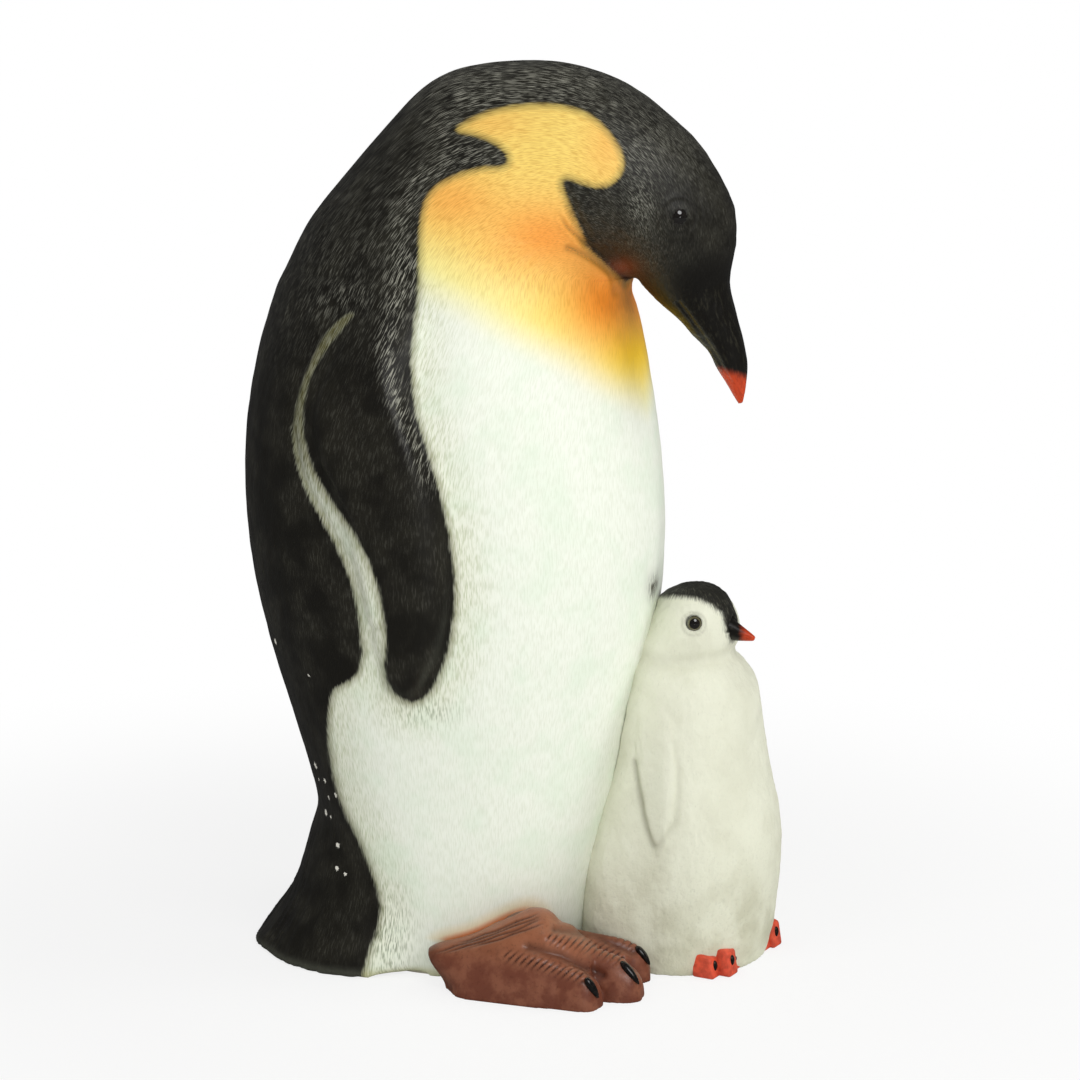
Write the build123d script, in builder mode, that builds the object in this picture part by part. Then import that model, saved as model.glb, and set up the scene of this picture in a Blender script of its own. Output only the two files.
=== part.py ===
"""Painted resin figurine: an adult penguin bowing over a chick, as bonded castings.

The adult faces -Y and its left side is +X.  The origin is the centre of the adult's base, on the ground.
Points are given as the bird sees them: forward, left, height.  Forward is -Y.
"""

import os
from math import asin, cos, pi, radians, sin, sqrt

from build123d import *

# Overall sizes of the adult, in millimetres
adult_height = 500.0
torso_depth = 240.0
torso_width = 220.0
wall = 6.0
ring_points = 12

# Overall sizes and place of the chick, and its turn towards the adult's right
chick_height = 216.0
chick_depth = 104.0
chick_width = 112.0
chick_forward_share = 1.067
chick_left_share = 0.20
chick_turn = 9.0
chick_wall = 5.0
chick_cavity_back_share = 0.933

# Base plates
plate_thickness = 8.0
plate_rim = 3.0
plate_clearance = 0.2

# Stopper of the filling hole in the adult's base plate
plug_radius = 14.0
plug_clearance = 0.05
plug_flange_radius = 18.0
plug_flange_clearance = 0.4
plug_flange_thickness = 2.0
plug_recess = 1.0
plug_length = 14.0
plug_forward_share = -0.30

# Inner sleeve that carries the neck joint
sleeve_thickness = 4.0
sleeve_depth = 16.0

# Bills
bill_peg_radius = 5.0
bill_peg_length = 12.0
chick_bill_radius = 6.0
chick_bill_tip_radius = 1.2
chick_bill_length = 19.0
chick_bill_forward_share = 0.423
chick_bill_height_share = 0.8866
chick_bill_drop_share = 0.28

# Glass eyes, each a short round shank with a domed face, set square to the head
adult_eye_diameter = 11.0
adult_eye_forward_share = 1.147
adult_eye_left_share = 0.293
adult_eye_height_share = 0.84
adult_eye_ahead_share = 0.53
adult_eye_out_share = 0.85
chick_eye_diameter = 9.0
chick_eye_forward_share = 0.281
chick_eye_left_share = 0.404
chick_eye_height_share = 0.903
chick_eye_ahead_share = 0.54
chick_eye_out_share = 0.83
eye_socket_depth = 4.0
eye_dome_height = 2.5

# Folded flippers, proud of the bodies; their edges and inner faces start inside and are cut to the bodies
flipper_proud = 13.0
flipper_edge_sink = 3.0
flipper_sink = 12.0
chick_flipper_proud = 4.0

# Feet
foot_height = 52.0
foot_half_width = 32.0
foot_splay = 14.0
foot_pivot_forward_share = 0.533
foot_pivot_left_share = -0.545
chick_foot_height = 15.0
chick_foot_half_width = 12.0
chick_foot_start_share = 0.385
chick_foot_end_share = 0.865
chick_foot_left_share = 0.518
tail_front_share = 0.0

# Steel pins that key the bonded castings
pin_diameter = 5.0
pin_length = 12.0
foot_pin_height_share = 0.03
foot_pin_forward_share = 0.383
tail_pin_height_share = 0.08
tail_pin_left_share = 0.273
flipper_pin_shares = [(0.033, 0.600), (0.100, 0.444)]
chick_pin_height_shares = [0.44, 0.61]

half_depth = torso_depth / 2
half_width = torso_width / 2
chick_half_depth = chick_depth / 2
chick_half_width = chick_width / 2
chick_forward = chick_forward_share * half_depth
chick_left = chick_left_share * half_width
foot_pivot = (foot_pivot_forward_share * half_depth, foot_pivot_left_share * half_width)
foot_pin_height = foot_pin_height_share * adult_height
foot_pin_forward = foot_pin_forward_share * half_depth
tail_pin_height = tail_pin_height_share * adult_height
tail_pin_left = tail_pin_left_share * half_width
flipper_pins = [(ahead * half_depth, high * adult_height) for ahead, high in flipper_pin_shares]
chick_pin_heights = [high * chick_height for high in chick_pin_height_shares]

# Torso levels: height, front, back, half width.
# Height is a share of the adult's height, forward of half the depth, width of half the torso's width.
torso_shares = [
    (0.000, 0.660, -0.585, 0.660),
    (0.080, 0.720, -0.610, 0.740),
    (0.185, 0.805, -0.680, 0.830),
    (0.300, 0.885, -0.825, 0.920),
    (0.410, 0.950, -0.955, 0.985),
    (0.510, 0.965, -1.012, 1.000),
    (0.600, 0.930, -1.003, 0.980),
    (0.690, 0.870, -0.935, 0.905),
    (0.768, 0.771, -0.835, 0.785),
]
# Sections round the bend of the neck: throat forward, throat height, crown forward, crown height, half width
head_shares = [
    (0.771, 0.768, -0.835, 0.768, 0.785),
    (0.772, 0.770, -0.683, 0.830, 0.725),
    (0.774, 0.772, -0.483, 0.886, 0.665),
    (0.778, 0.774, -0.283, 0.936, 0.610),
    (0.784, 0.776, -0.052, 0.979, 0.565),
    (0.793, 0.778, 0.200, 0.996, 0.520),
    (0.803, 0.779, 0.458, 1.000, 0.482),
    (0.815, 0.780, 0.700, 0.987, 0.446),
    (0.828, 0.780, 0.925, 0.962, 0.410),
    (0.841, 0.779, 1.100, 0.926, 0.375),
    (0.853, 0.777, 1.225, 0.884, 0.340),
    (0.866, 0.773, 1.300, 0.846, 0.300),
    (0.917, 0.757, 1.318, 0.807, 0.245),
    (0.992, 0.737, 1.296, 0.768, 0.164),
]
bill_shares = [
    (0.992, 0.737, 1.296, 0.768, 0.164),
    (1.072, 0.724, 1.315, 0.752, 0.141),
    (1.139, 0.708, 1.334, 0.731, 0.114),
    (1.206, 0.693, 1.359, 0.711, 0.091),
    (1.244, 0.676, 1.379, 0.692, 0.077),
    (1.282, 0.660, 1.395, 0.673, 0.064),
    (1.317, 0.644, 1.400, 0.653, 0.041),
    (1.348, 0.635, 1.378, 0.638, 0.014),
]
tail_shares = [
    (0.000, 0.317, -0.990, 0.830),
    (0.040, 0.317, -0.870, 0.790),
    (0.074, 0.300, -0.785, 0.740),
    (0.110, 0.280, -0.735, 0.700),
    (0.150, 0.260, -0.692, 0.660),
    (0.220, 0.220, -0.600, 0.560),
]
# Flipper levels: height, leading edge, trailing edge, and how far it stands proud
flipper_shares = [
    (0.766, 0.040, -0.060, 0.00),
    (0.735, 0.125, -0.170, 0.35),
    (0.690, 0.125, -0.300, 0.55),
    (0.640, 0.130, -0.400, 0.70),
    (0.590, 0.205, -0.360, 0.80),
    (0.540, 0.270, -0.250, 0.88),
    (0.490, 0.295, -0.160, 0.96),
    (0.440, 0.298, -0.100, 1.00),
    (0.390, 0.250, -0.060, 1.00),
    (0.350, 0.175, -0.017, 0.80),
    (0.322, 0.105, 0.035, 0.00),
]
# Chick levels in its own frame: height, front, back, half width.
# The last body level is the crease of the neck.
chick_body_shares = [
    (0.000, 0.850, -0.850, 0.890),
    (0.110, 0.955, -0.955, 0.975),
    (0.220, 1.005, -1.005, 1.010),
    (0.330, 1.015, -1.015, 1.010),
    (0.440, 0.940, -0.940, 0.960),
    (0.550, 0.835, -0.835, 0.895),
    (0.660, 0.765, -0.765, 0.840),
    (0.740, 0.670, -0.670, 0.740),
    (0.800, 0.520, -0.520, 0.560),
]
chick_head_shares = [
    (0.800, 0.520, -0.520, 0.560),
    (0.835, 0.525, -0.440, 0.500),
    (0.875, 0.530, -0.400, 0.480),
    (0.910, 0.510, -0.370, 0.455),
    (0.945, 0.440, -0.310, 0.390),
    (0.975, 0.310, -0.190, 0.275),
    (0.993, 0.160, -0.060, 0.130),
]
chick_flipper_shares = [
    (0.720, 0.120, -0.050, 0.00),
    (0.650, 0.290, -0.190, 0.60),
    (0.580, 0.340, -0.170, 0.90),
    (0.510, 0.345, -0.100, 1.00),
    (0.440, 0.340, -0.020, 1.00),
    (0.380, 0.310, 0.070, 0.80),
    (0.320, 0.230, 0.130, 0.00),
]
# Outline of a folded flipper: share of its breadth from the leading edge, share of its proud height
flipper_outline_shares = [
    (0.00, 0.00), (0.07, 0.66), (0.24, 1.00), (0.50, 0.92), (0.76, 0.80), (0.93, 0.50), (1.00, 0.00)]
flipper_inner_shares = [0.80, 0.50, 0.20]
# Each row of a limb: share of the limb's length, of the foot's half width, of the foot's height
pad_shares = [(0.00, 0.36, 0.40), (0.14, 0.58, 0.50), (0.40, 0.80, 0.70), (0.64, 0.95, 0.88),
              (0.84, 0.98, 0.72), (1.00, 0.80, 0.45)]
toe_shares = [(0.00, 0.40, 0.60), (0.45, 0.42, 0.52), (0.80, 0.36, 0.40), (0.95, 0.26, 0.28),
              (1.00, 0.12, 0.14)]
# Limbs of the right foot on the ground: forward and left of their start and end, and their rows
limb_shares = [
    ((0.117, -0.782), (0.867, -0.600), pad_shares),
    ((0.517, -0.745), (0.958, -0.836), toe_shares),
    ((0.550, -0.636), (1.100, -0.627), toe_shares),
    ((0.550, -0.527), (1.042, -0.309), toe_shares),
]
chick_toe_shares = [(0.00, 0.36, 0.80), (0.60, 0.40, 1.00), (0.90, 0.34, 0.80), (1.00, 0.20, 0.45)]
chick_toe_offset_shares = [-0.64, 0.00, 0.64]


def place(forward, left, height):
    """A point given as the adult sees it."""
    return Vector(left, -forward, height)


def closed_face(points):
    """A smooth closed face through points, drawn in the current sketch."""
    with BuildLine() as line:
        Spline(*points, periodic=True)
    make_face(line.edges())


def ring(half_wide, half_deep, back):
    """Points of a round outline that start at its left end, with its middle moved back."""
    turns = [2 * pi * i / ring_points for i in range(ring_points)]
    return [(half_wide * cos(t), half_deep * sin(t) + back) for t in turns]


def level_face(level, inset):
    """Draw a level (front, back, half width) of an upright body in the current sketch."""
    front, back, wide = level
    closed_face(ring(wide - inset, (front - back) / 2 - inset, -(front + back) / 2))


def level_at(rows, share, deep, wide):
    """The front, back and half width of an upright body at a share of its height."""
    upper = next(i for i in range(1, len(rows)) if share <= rows[i][0])
    low, high = rows[upper - 1], rows[upper]
    part = (share - low[0]) / (high[0] - low[0])
    front, back, half = [a + (b - a) * part for a, b in zip(low[1:], high[1:])]
    return front * deep, back * deep, half * wide


def eased(rows):
    """Rows with a smooth row put between each two."""
    first = [2 * a - b for a, b in zip(rows[0], rows[1])]
    last = [2 * a - b for a, b in zip(rows[-1], rows[-2])]
    padded = [first] + rows + [last]
    full = []
    for before, low, high, after in zip(padded, padded[1:], padded[2:], padded[3:]):
        middle = [(9 * (b + c) - (a + d)) / 16 for a, b, c, d in zip(before, low, high, after)]
        full += [low, middle]
    return full + [rows[-1]]


def torso_level(height):
    return level_at(eased(torso_shares), height / adult_height, half_depth, half_width)


def chick_level(height):
    rows = eased(chick_body_shares) + eased(chick_head_shares)[1:]
    return level_at(rows, height / chick_height, chick_half_depth, chick_half_width)


def bent_section(row):
    """A row of neck, head or bill shares as its plane, half width and half depth; Y points to the crown."""
    front = place(row[0] * half_depth, 0, row[1] * adult_height)
    crown = place(row[2] * half_depth, 0, row[3] * adult_height)
    across = crown - front
    plane = Plane(origin=(front + crown) / 2, x_dir=(1, 0, 0), z_dir=Vector(1, 0, 0).cross(across))
    return plane, row[4] * half_width, across.length / 2


def flipper_face(level, lead, trail, proud, side):
    """Draw a folded flipper's outline on a level; side is -1 on the right and 1 on the left."""
    front, back, wide = level
    deep = (front - back) / 2
    middle = (front + back) / 2
    start, end = asin((lead - middle) / deep), asin((trail - middle) / deep)
    full = proud + flipper_edge_sink
    outer = [(s, rise * full - flipper_edge_sink) for s, rise in flipper_outline_shares]
    inner = [(s, -flipper_sink) for s in flipper_inner_shares]
    points = []
    for s, rise in outer + inner:
        turn = start + (end - start) * s
        points.append((side * (wide + rise) * cos(turn), -middle - (deep + rise) * sin(turn)))
    closed_face(points)


def foot_point(shares):
    """Forward and left of a point of the right foot's plan."""
    return shares[0] * half_depth, shares[1] * half_width


def limb_plane(start, end, share):
    """The upright plane across a limb on the ground, at a share of the way from start to end."""
    first = place(start[0], start[1], 0)
    last = place(end[0], end[1], 0)
    along = last - first
    return Plane(origin=first + along * share, x_dir=along.cross(Vector(0, 0, 1)), z_dir=along)


def left_limb(point):
    """A point of the right foot's plan carried to the splayed left foot."""
    ahead, out = point[0] - foot_pivot[0], foot_pivot[1] - point[1]
    turn = radians(foot_splay)
    forward = foot_pivot[0] + ahead * cos(turn) - out * sin(turn)
    return forward, -foot_pivot[1] + ahead * sin(turn) + out * cos(turn)


def surface_plane(level, height, forward, side):
    """A plane on an upright body's flank, facing outwards."""
    front, back, wide = level
    deep = (front - back) / 2
    ahead = (forward - (front + back) / 2) / deep
    out = sqrt(1 - ahead * ahead)
    facing = place(ahead / deep, side * out / wide, 0)
    return Plane(origin=place(forward, side * wide * out, height), z_dir=facing)


def end_plane(level, height, left, front):
    """A plane on an upright body's front or back, facing straight forward or back."""
    ahead, behind, wide = level
    deep = (ahead - behind) / 2 * sqrt(1 - left * left / wide / wide)
    sign = 1 if front else -1
    return Plane(origin=place((ahead + behind) / 2 + sign * deep, left, height), z_dir=place(sign, 0, 0))


ground = Plane.XY
turn = radians(chick_turn)
chick_side = (cos(turn), -sin(turn), 0)
chick_plane = Plane(origin=place(chick_forward, chick_left, 0), x_dir=chick_side, z_dir=(0, 0, 1))
torso_heights = [row[0] * adult_height for row in torso_shares]
chick_heights = [row[0] * chick_height for row in chick_body_shares]
chick_head_heights = [row[0] * chick_height for row in chick_head_shares]
head_sections = [bent_section(row) for row in eased(head_shares)]
bill_sections = [bent_section(row) for row in eased(bill_shares)]
bill_root = bill_sections[0][0]
cavity_sections = [bent_section(row) for row in head_shares[:-4]]


def chick_point(forward, left, height):
    """A point given as the chick sees it, from the middle of its base."""
    return chick_plane.from_local_coords(place(forward, left, height))


def chick_ground(forward, left):
    """Forward and left of a point on the ground that is given as the chick sees it."""
    point = chick_point(forward, left, 0)
    return -point.Y, point.X


def eye_plane(point, out):
    """The upright plane through an eye, with its Y axis out of the head."""
    side = out.cross(Vector(0, 0, 1)).normalized()
    return Plane(origin=point, x_dir=side, z_dir=side.cross(out))


# Steel pins, half in each of the two castings they key
pin_planes = [surface_plane(torso_level(z), z, f, side) for f, z in flipper_pins for side in (-1, 1)]
foot_level = torso_level(foot_pin_height)
pin_planes += [surface_plane(foot_level, foot_pin_height, foot_pin_forward, side) for side in (-1, 1)]
tail_level = torso_level(tail_pin_height)
pin_planes += [end_plane(tail_level, tail_pin_height, side * tail_pin_left, False) for side in (-1, 1)]
pin_planes += [end_plane(torso_level(z), z, chick_left, True) for z in chick_pin_heights]
with BuildPart() as dowel_pins:
    for plane in pin_planes:
        with BuildSketch(plane):
            Circle(pin_diameter / 2)
    extrude(amount=pin_length / 2, both=True)
dowel_pins.part.label = "dowel_pins"

# The adult's torso as a solid form, and the hollow inside it
with BuildPart() as torso_form:
    for height in torso_heights:
        with BuildSketch(ground.offset(height)):
            level_face(torso_level(height), 0)
    loft()

cavity_heights = [plate_thickness] + torso_heights[1:]
with BuildPart() as torso_cavity:
    for height in cavity_heights:
        with BuildSketch(ground.offset(height)):
            level_face(torso_level(height), wall)
    loft()

with BuildPart() as torso_core:
    for height in cavity_heights:
        with BuildSketch(ground.offset(height)):
            level_face(torso_level(height), wall + sleeve_thickness)
    loft()

# The bent neck and head as a solid form, and the hollow inside it
with BuildPart() as head_form:
    for pair in zip(head_sections, head_sections[1:]):
        for plane, wide, deep in pair:
            with BuildSketch(plane):
                closed_face(ring(wide, deep, 0))
        loft()

with BuildPart() as head_cavity:
    for pair in zip(cavity_sections, cavity_sections[1:]):
        for plane, wide, deep in pair:
            with BuildSketch(plane):
                closed_face(ring(wide - wall, deep - wall, 0))
        loft()

with BuildPart() as head_core:
    for pair in zip(cavity_sections, cavity_sections[1:]):
        for plane, wide, deep in pair:
            with BuildSketch(plane):
                closed_face(ring(wide - wall - sleeve_thickness, deep - wall - sleeve_thickness, 0))
        loft()

# The chick's solid form and its hollow, which leaves a thick back wall for the pins
with BuildPart() as chick_form:
    for height in chick_heights:
        with BuildSketch(chick_plane.offset(height)):
            level_face(chick_level(height), 0)
    loft()
    for height in chick_head_heights:
        with BuildSketch(chick_plane.offset(height)):
            level_face(chick_level(height), 0)
    loft()

chick_cavity_back = chick_cavity_back_share * half_depth
with BuildPart() as chick_cavity:
    for height in [plate_thickness] + chick_heights[1:-1]:
        with BuildSketch(chick_plane.offset(height)):
            level_face(chick_level(height), chick_wall)
    loft()
    split(bisect_by=Plane(origin=place(chick_cavity_back, 0, 0), z_dir=place(1, 0, 0)), keep=Keep.TOP)

# Adult's body casting with the rebate for its base plate
with BuildPart() as adult_body:
    add(torso_form.part)
    add(torso_cavity.part, mode=Mode.SUBTRACT)
    with BuildSketch(ground):
        level_face(torso_level(0), plate_rim)
    extrude(amount=plate_thickness, mode=Mode.SUBTRACT)
    add(dowel_pins.part, mode=Mode.SUBTRACT)
adult_body.part.label = "adult_body"

# Sleeve inside the neck joint
with BuildPart() as neck_sleeve:
    add(torso_cavity.part)
    add(head_cavity.part)
    add(torso_core.part, mode=Mode.SUBTRACT)
    add(head_core.part, mode=Mode.SUBTRACT)
    split(bisect_by=ground.offset(torso_heights[-1] - sleeve_depth), keep=Keep.TOP)
    split(bisect_by=cavity_sections[1][0], keep=Keep.BOTTOM)
neck_sleeve.part.label = "neck_sleeve"

# Glass eyes
adult_eye_ends = [place(adult_eye_ahead_share, side * adult_eye_out_share, 0) for side in (-1, 1)]
adult_eye_outs = [end.normalized() for end in adult_eye_ends]
adult_eye_forward = adult_eye_forward_share * half_depth
adult_eye_left = adult_eye_left_share * half_width
adult_eye_height = adult_eye_height_share * adult_height
adult_eye_points = [place(adult_eye_forward, side * adult_eye_left, adult_eye_height) for side in (-1, 1)]
chick_eye_forward = chick_eye_forward_share * chick_half_depth
chick_eye_left = chick_eye_left_share * chick_half_width
chick_eye_height = chick_eye_height_share * chick_height
chick_eye_lefts = [-chick_eye_left, chick_eye_left]
chick_eye_points = [chick_point(chick_eye_forward, left, chick_eye_height) for left in chick_eye_lefts]
chick_eye_ends = [chick_point(chick_eye_ahead_share, side * chick_eye_out_share, 0) for side in (-1, 1)]
chick_eye_outs = [(end - chick_plane.origin).normalized() for end in chick_eye_ends]
eye_rows = [
    ("adult_right_eye", adult_eye_points[0], adult_eye_outs[0], adult_eye_diameter / 2),
    ("adult_left_eye", adult_eye_points[1], adult_eye_outs[1], adult_eye_diameter / 2),
    ("chick_right_eye", chick_eye_points[0], chick_eye_outs[0], chick_eye_diameter / 2),
    ("chick_left_eye", chick_eye_points[1], chick_eye_outs[1], chick_eye_diameter / 2),
]
eyes = []
for name, point, out, radius in eye_rows:
    bow = (radius * radius + eye_dome_height * eye_dome_height) / 2 / eye_dome_height
    shoulder = eye_dome_height - bow + sqrt(bow * bow - radius * radius / 4)
    with BuildPart() as eye:
        with BuildSketch(eye_plane(point, out)):
            with BuildLine():
                rim, foot = (radius, 0), (radius, -eye_socket_depth)
                Polyline((0, eye_dome_height), (0, -eye_socket_depth), foot, rim)
                ThreePointArc((radius, 0), (radius / 2, shoulder), (0, eye_dome_height))
            make_face()
        revolve(axis=Axis(point, out))
    eye.part.label = name
    eyes.append(eye)

# Adult's head casting and bill
with BuildPart() as adult_head:
    add(head_form.part)
    add(head_cavity.part, mode=Mode.SUBTRACT)
    for eye in eyes[:2]:
        add(eye.part, mode=Mode.SUBTRACT)
    with BuildSketch(bill_root):
        Circle(bill_peg_radius)
    extrude(amount=-bill_peg_length, mode=Mode.SUBTRACT)
adult_head.part.label = "adult_head"

with BuildPart() as adult_bill:
    for pair in zip(bill_sections, bill_sections[1:]):
        for plane, wide, deep in pair:
            with BuildSketch(plane):
                closed_face(ring(wide, deep, 0))
        loft()
    with BuildSketch(bill_root):
        Circle(bill_peg_radius)
    extrude(amount=-bill_peg_length)
adult_bill.part.label = "adult_bill"

# Folded flippers of both birds, cut to the bodies they are bonded to
flippers = []
for name, side in (("right_flipper", -1), ("left_flipper", 1)):
    with BuildPart() as flipper:
        for share, lead, trail, proud in flipper_shares:
            height = share * adult_height
            rise = proud * flipper_proud
            with BuildSketch(ground.offset(height)):
                flipper_face(torso_level(height), lead * half_depth, trail * half_depth, rise, side)
        loft()
        add(torso_form.part, mode=Mode.SUBTRACT)
        add(dowel_pins.part, mode=Mode.SUBTRACT)
    flipper.part.label = name
    flippers.append(flipper)

for name, side in (("chick_right_flipper", -1), ("chick_left_flipper", 1)):
    with BuildPart() as flipper:
        for share, lead, trail, proud in chick_flipper_shares:
            height = share * chick_height
            rise = proud * chick_flipper_proud
            with BuildSketch(chick_plane.offset(height)):
                edges = (lead * chick_half_depth, trail * chick_half_depth)
                flipper_face(chick_level(height), *edges, rise, side)
        loft()
        add(chick_form.part, mode=Mode.SUBTRACT)
        add(torso_form.part, mode=Mode.SUBTRACT)
    flipper.part.label = name
    flippers.append(flipper)

# Tail, a fan bonded round the back of the body
tail_front = tail_front_share * half_depth
with BuildPart() as tail:
    for share, front, back, wide in tail_shares:
        with BuildSketch(ground.offset(share * adult_height)):
            level_face((front * half_depth, back * half_depth, wide * half_width), 0)
    loft()
    split(bisect_by=Plane(origin=place(tail_front, 0, 0), z_dir=place(1, 0, 0)), keep=Keep.BOTTOM)
    add(torso_form.part, mode=Mode.SUBTRACT)
    add(dowel_pins.part, mode=Mode.SUBTRACT)
tail.part.label = "tail"

# Adult's feet
foot_limbs = [(foot_point(start), foot_point(end), rows) for start, end, rows in limb_shares]
left_limbs = [(left_limb(start), left_limb(end), rows) for start, end, rows in foot_limbs]
feet = []
for name, limbs in (("right_foot", foot_limbs), ("left_foot", left_limbs)):
    with BuildPart() as foot:
        for start, end, rows in limbs:
            for share, wide, high in rows:
                with BuildSketch(limb_plane(start, end, share)):
                    closed_face(ring(wide * foot_half_width, high * foot_height, 0))
            loft()
        split(bisect_by=ground, keep=Keep.TOP)
        add(torso_form.part, mode=Mode.SUBTRACT)
        add(chick_form.part, mode=Mode.SUBTRACT)
        add(dowel_pins.part, mode=Mode.SUBTRACT)
    foot.part.label = name
    feet.append(foot)

# Chick's feet, three blunt toes each
chick_foot_start = chick_foot_start_share * chick_half_depth
chick_foot_end = chick_foot_end_share * chick_half_depth
chick_foot_left = chick_foot_left_share * chick_half_width
for name, side in (("chick_right_foot", -1), ("chick_left_foot", 1)):
    with BuildPart() as foot:
        for offset in chick_toe_offset_shares:
            left = side * chick_foot_left + offset * chick_foot_half_width
            start, end = chick_ground(chick_foot_start, left), chick_ground(chick_foot_end, left)
            for share, wide, high in chick_toe_shares:
                with BuildSketch(limb_plane(start, end, share)):
                    closed_face(ring(wide * chick_foot_half_width, high * chick_foot_height, 0))
            loft()
        split(bisect_by=ground, keep=Keep.TOP)
        add(chick_form.part, mode=Mode.SUBTRACT)
    foot.part.label = name
    feet.append(foot)

# Chick's bill, a blunt cone let into the face
chick_bill_forward = chick_bill_forward_share * chick_half_depth
chick_bill_height = chick_bill_height_share * chick_height
with BuildPart() as chick_bill:
    root = chick_point(chick_bill_forward, 0, chick_bill_height)
    drop = chick_bill_drop_share * chick_bill_length
    tip = chick_point(chick_bill_forward + chick_bill_length, 0, chick_bill_height - drop)
    with BuildSketch(Plane(origin=root, z_dir=tip - root)):
        Circle(chick_bill_radius)
    with BuildSketch(Plane(origin=tip, z_dir=tip - root)):
        Circle(chick_bill_tip_radius)
    loft()
chick_bill.part.label = "chick_bill"

# Chick's body casting with the rebate for its base plate
with BuildPart() as chick_body:
    add(chick_form.part)
    add(chick_cavity.part, mode=Mode.SUBTRACT)
    with BuildSketch(chick_plane):
        level_face(chick_level(0), plate_rim)
    extrude(amount=plate_thickness, mode=Mode.SUBTRACT)
    add(torso_form.part, mode=Mode.SUBTRACT)
    add(dowel_pins.part, mode=Mode.SUBTRACT)
    add(chick_bill.part, mode=Mode.SUBTRACT)
    for eye in eyes[2:]:
        add(eye.part, mode=Mode.SUBTRACT)
chick_body.part.label = "chick_body"

# Base plates; the adult's has the filling hole with a recess for the stopper's flange
plug_centre = (0, -plug_forward_share * half_depth)
flange_depth = plug_recess + plug_flange_thickness
with BuildPart() as base_plate:
    with BuildSketch(ground):
        level_face(torso_level(0), plate_rim + plate_clearance)
    extrude(amount=plate_thickness)
    with BuildSketch(ground):
        with Locations(plug_centre):
            Circle(plug_radius)
    extrude(amount=plate_thickness, mode=Mode.SUBTRACT)
    with BuildSketch(ground):
        with Locations(plug_centre):
            Circle(plug_flange_radius + plug_flange_clearance)
    extrude(amount=flange_depth, mode=Mode.SUBTRACT)
base_plate.part.label = "base_plate"

with BuildPart() as chick_base_plate:
    with BuildSketch(chick_plane):
        level_face(chick_level(0), plate_rim + plate_clearance)
    extrude(amount=plate_thickness)
chick_base_plate.part.label = "chick_base_plate"

with BuildPart() as fill_plug:
    with BuildSketch(ground.offset(plug_recess)):
        with Locations(plug_centre):
            Circle(plug_flange_radius)
    extrude(amount=plug_flange_thickness)
    with BuildSketch(ground.offset(flange_depth)):
        with Locations(plug_centre):
            Circle(plug_radius - plug_clearance)
    extrude(amount=plug_length)
fill_plug.part.label = "fill_plug"

os.makedirs("parts", exist_ok=True)
pieces = [adult_body, adult_head, neck_sleeve, adult_bill, tail, base_plate, fill_plug, chick_body,
          chick_bill, chick_base_plate, dowel_pins] + eyes + flippers + feet
for piece in pieces:
    export_step(piece.part, f"parts/{piece.part.label}.step")
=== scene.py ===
"""Looks of a painted penguin figurine: an adult that bows over its chick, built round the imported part."""

import math

import bmesh
import bpy
import numpy as np
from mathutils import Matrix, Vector, noise
from mathutils.bvhtree import BVHTree
from mathutils.kdtree import KDTree


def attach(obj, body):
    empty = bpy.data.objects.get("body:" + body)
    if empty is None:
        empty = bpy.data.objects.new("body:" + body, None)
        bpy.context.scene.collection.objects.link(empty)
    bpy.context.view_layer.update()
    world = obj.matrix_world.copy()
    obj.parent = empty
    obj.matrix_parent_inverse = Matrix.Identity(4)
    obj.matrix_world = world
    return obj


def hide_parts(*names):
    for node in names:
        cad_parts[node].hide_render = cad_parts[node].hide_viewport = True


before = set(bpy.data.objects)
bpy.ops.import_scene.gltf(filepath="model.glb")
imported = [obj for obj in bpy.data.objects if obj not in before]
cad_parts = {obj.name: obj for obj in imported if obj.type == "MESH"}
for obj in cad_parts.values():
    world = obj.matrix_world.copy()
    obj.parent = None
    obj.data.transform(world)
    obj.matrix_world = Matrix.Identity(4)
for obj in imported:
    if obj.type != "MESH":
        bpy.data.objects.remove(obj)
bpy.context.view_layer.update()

bl_info = {
    "name": "Penguin Figurine",
    "version": (1, 0, 0),
    "blender": (4, 5, 0),
    "location": "3D View > Sidebar > Penguin",
    "description": "Builds the painted skins, eyes, claws and stage of a penguin figurine",
    "category": "Object",
}

# The photo's camera, in millimetres and degrees: what it looks at, from where, and its focal length in pixels
LOOK_AIM = (15.4, -42.3, 232.6)
LOOK_TURN = -70.0
LOOK_RISE = 10.5
LOOK_DISTANCE = 1700.0
LOOK_FOCUS = 3017.0
PHOTO_SIZE = 1080
MM_PER_PIXEL = LOOK_DISTANCE / LOOK_FOCUS
FAR = 1e9

# Outlines of the paint in the photo, in pixels
PALE_FRONT = [
    (450, 132), (468, 118), (497, 107), (536, 102), (570, 105), (594, 115), (611, 132), (622, 149), (626, 164),
    (621, 178), (610, 187), (596, 189), (579, 184), (567, 179), (562, 183), (567, 195), (574, 214), (584, 234),
    (587, 246), (600, 258), (612, 270), (628, 283), (646, 300), (664, 330), (900, 420),
    (900, 1100), (352, 1100), (358, 985),
    (362, 976), (370, 945), (377, 932), (381, 904), (372, 874), (359, 842), (340, 805), (331, 769), (326, 727),
    (331, 690), (337, 687), (353, 678), (359, 670), (361, 654), (372, 640), (384, 650), (385, 672), (388, 685),
    (395, 694), (404, 700), (414, 702), (424, 698), (433, 687), (441, 670), (450, 643), (456, 589),
    (450, 541), (441, 498), (430, 461), (414, 412), (410, 367),
    (412, 331), (417, 294), (418, 258), (418, 229), (423, 200), (434, 185), (456, 173), (482, 166), (504, 166),
    (508, 159), (502, 149), (480, 137),
]
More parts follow.
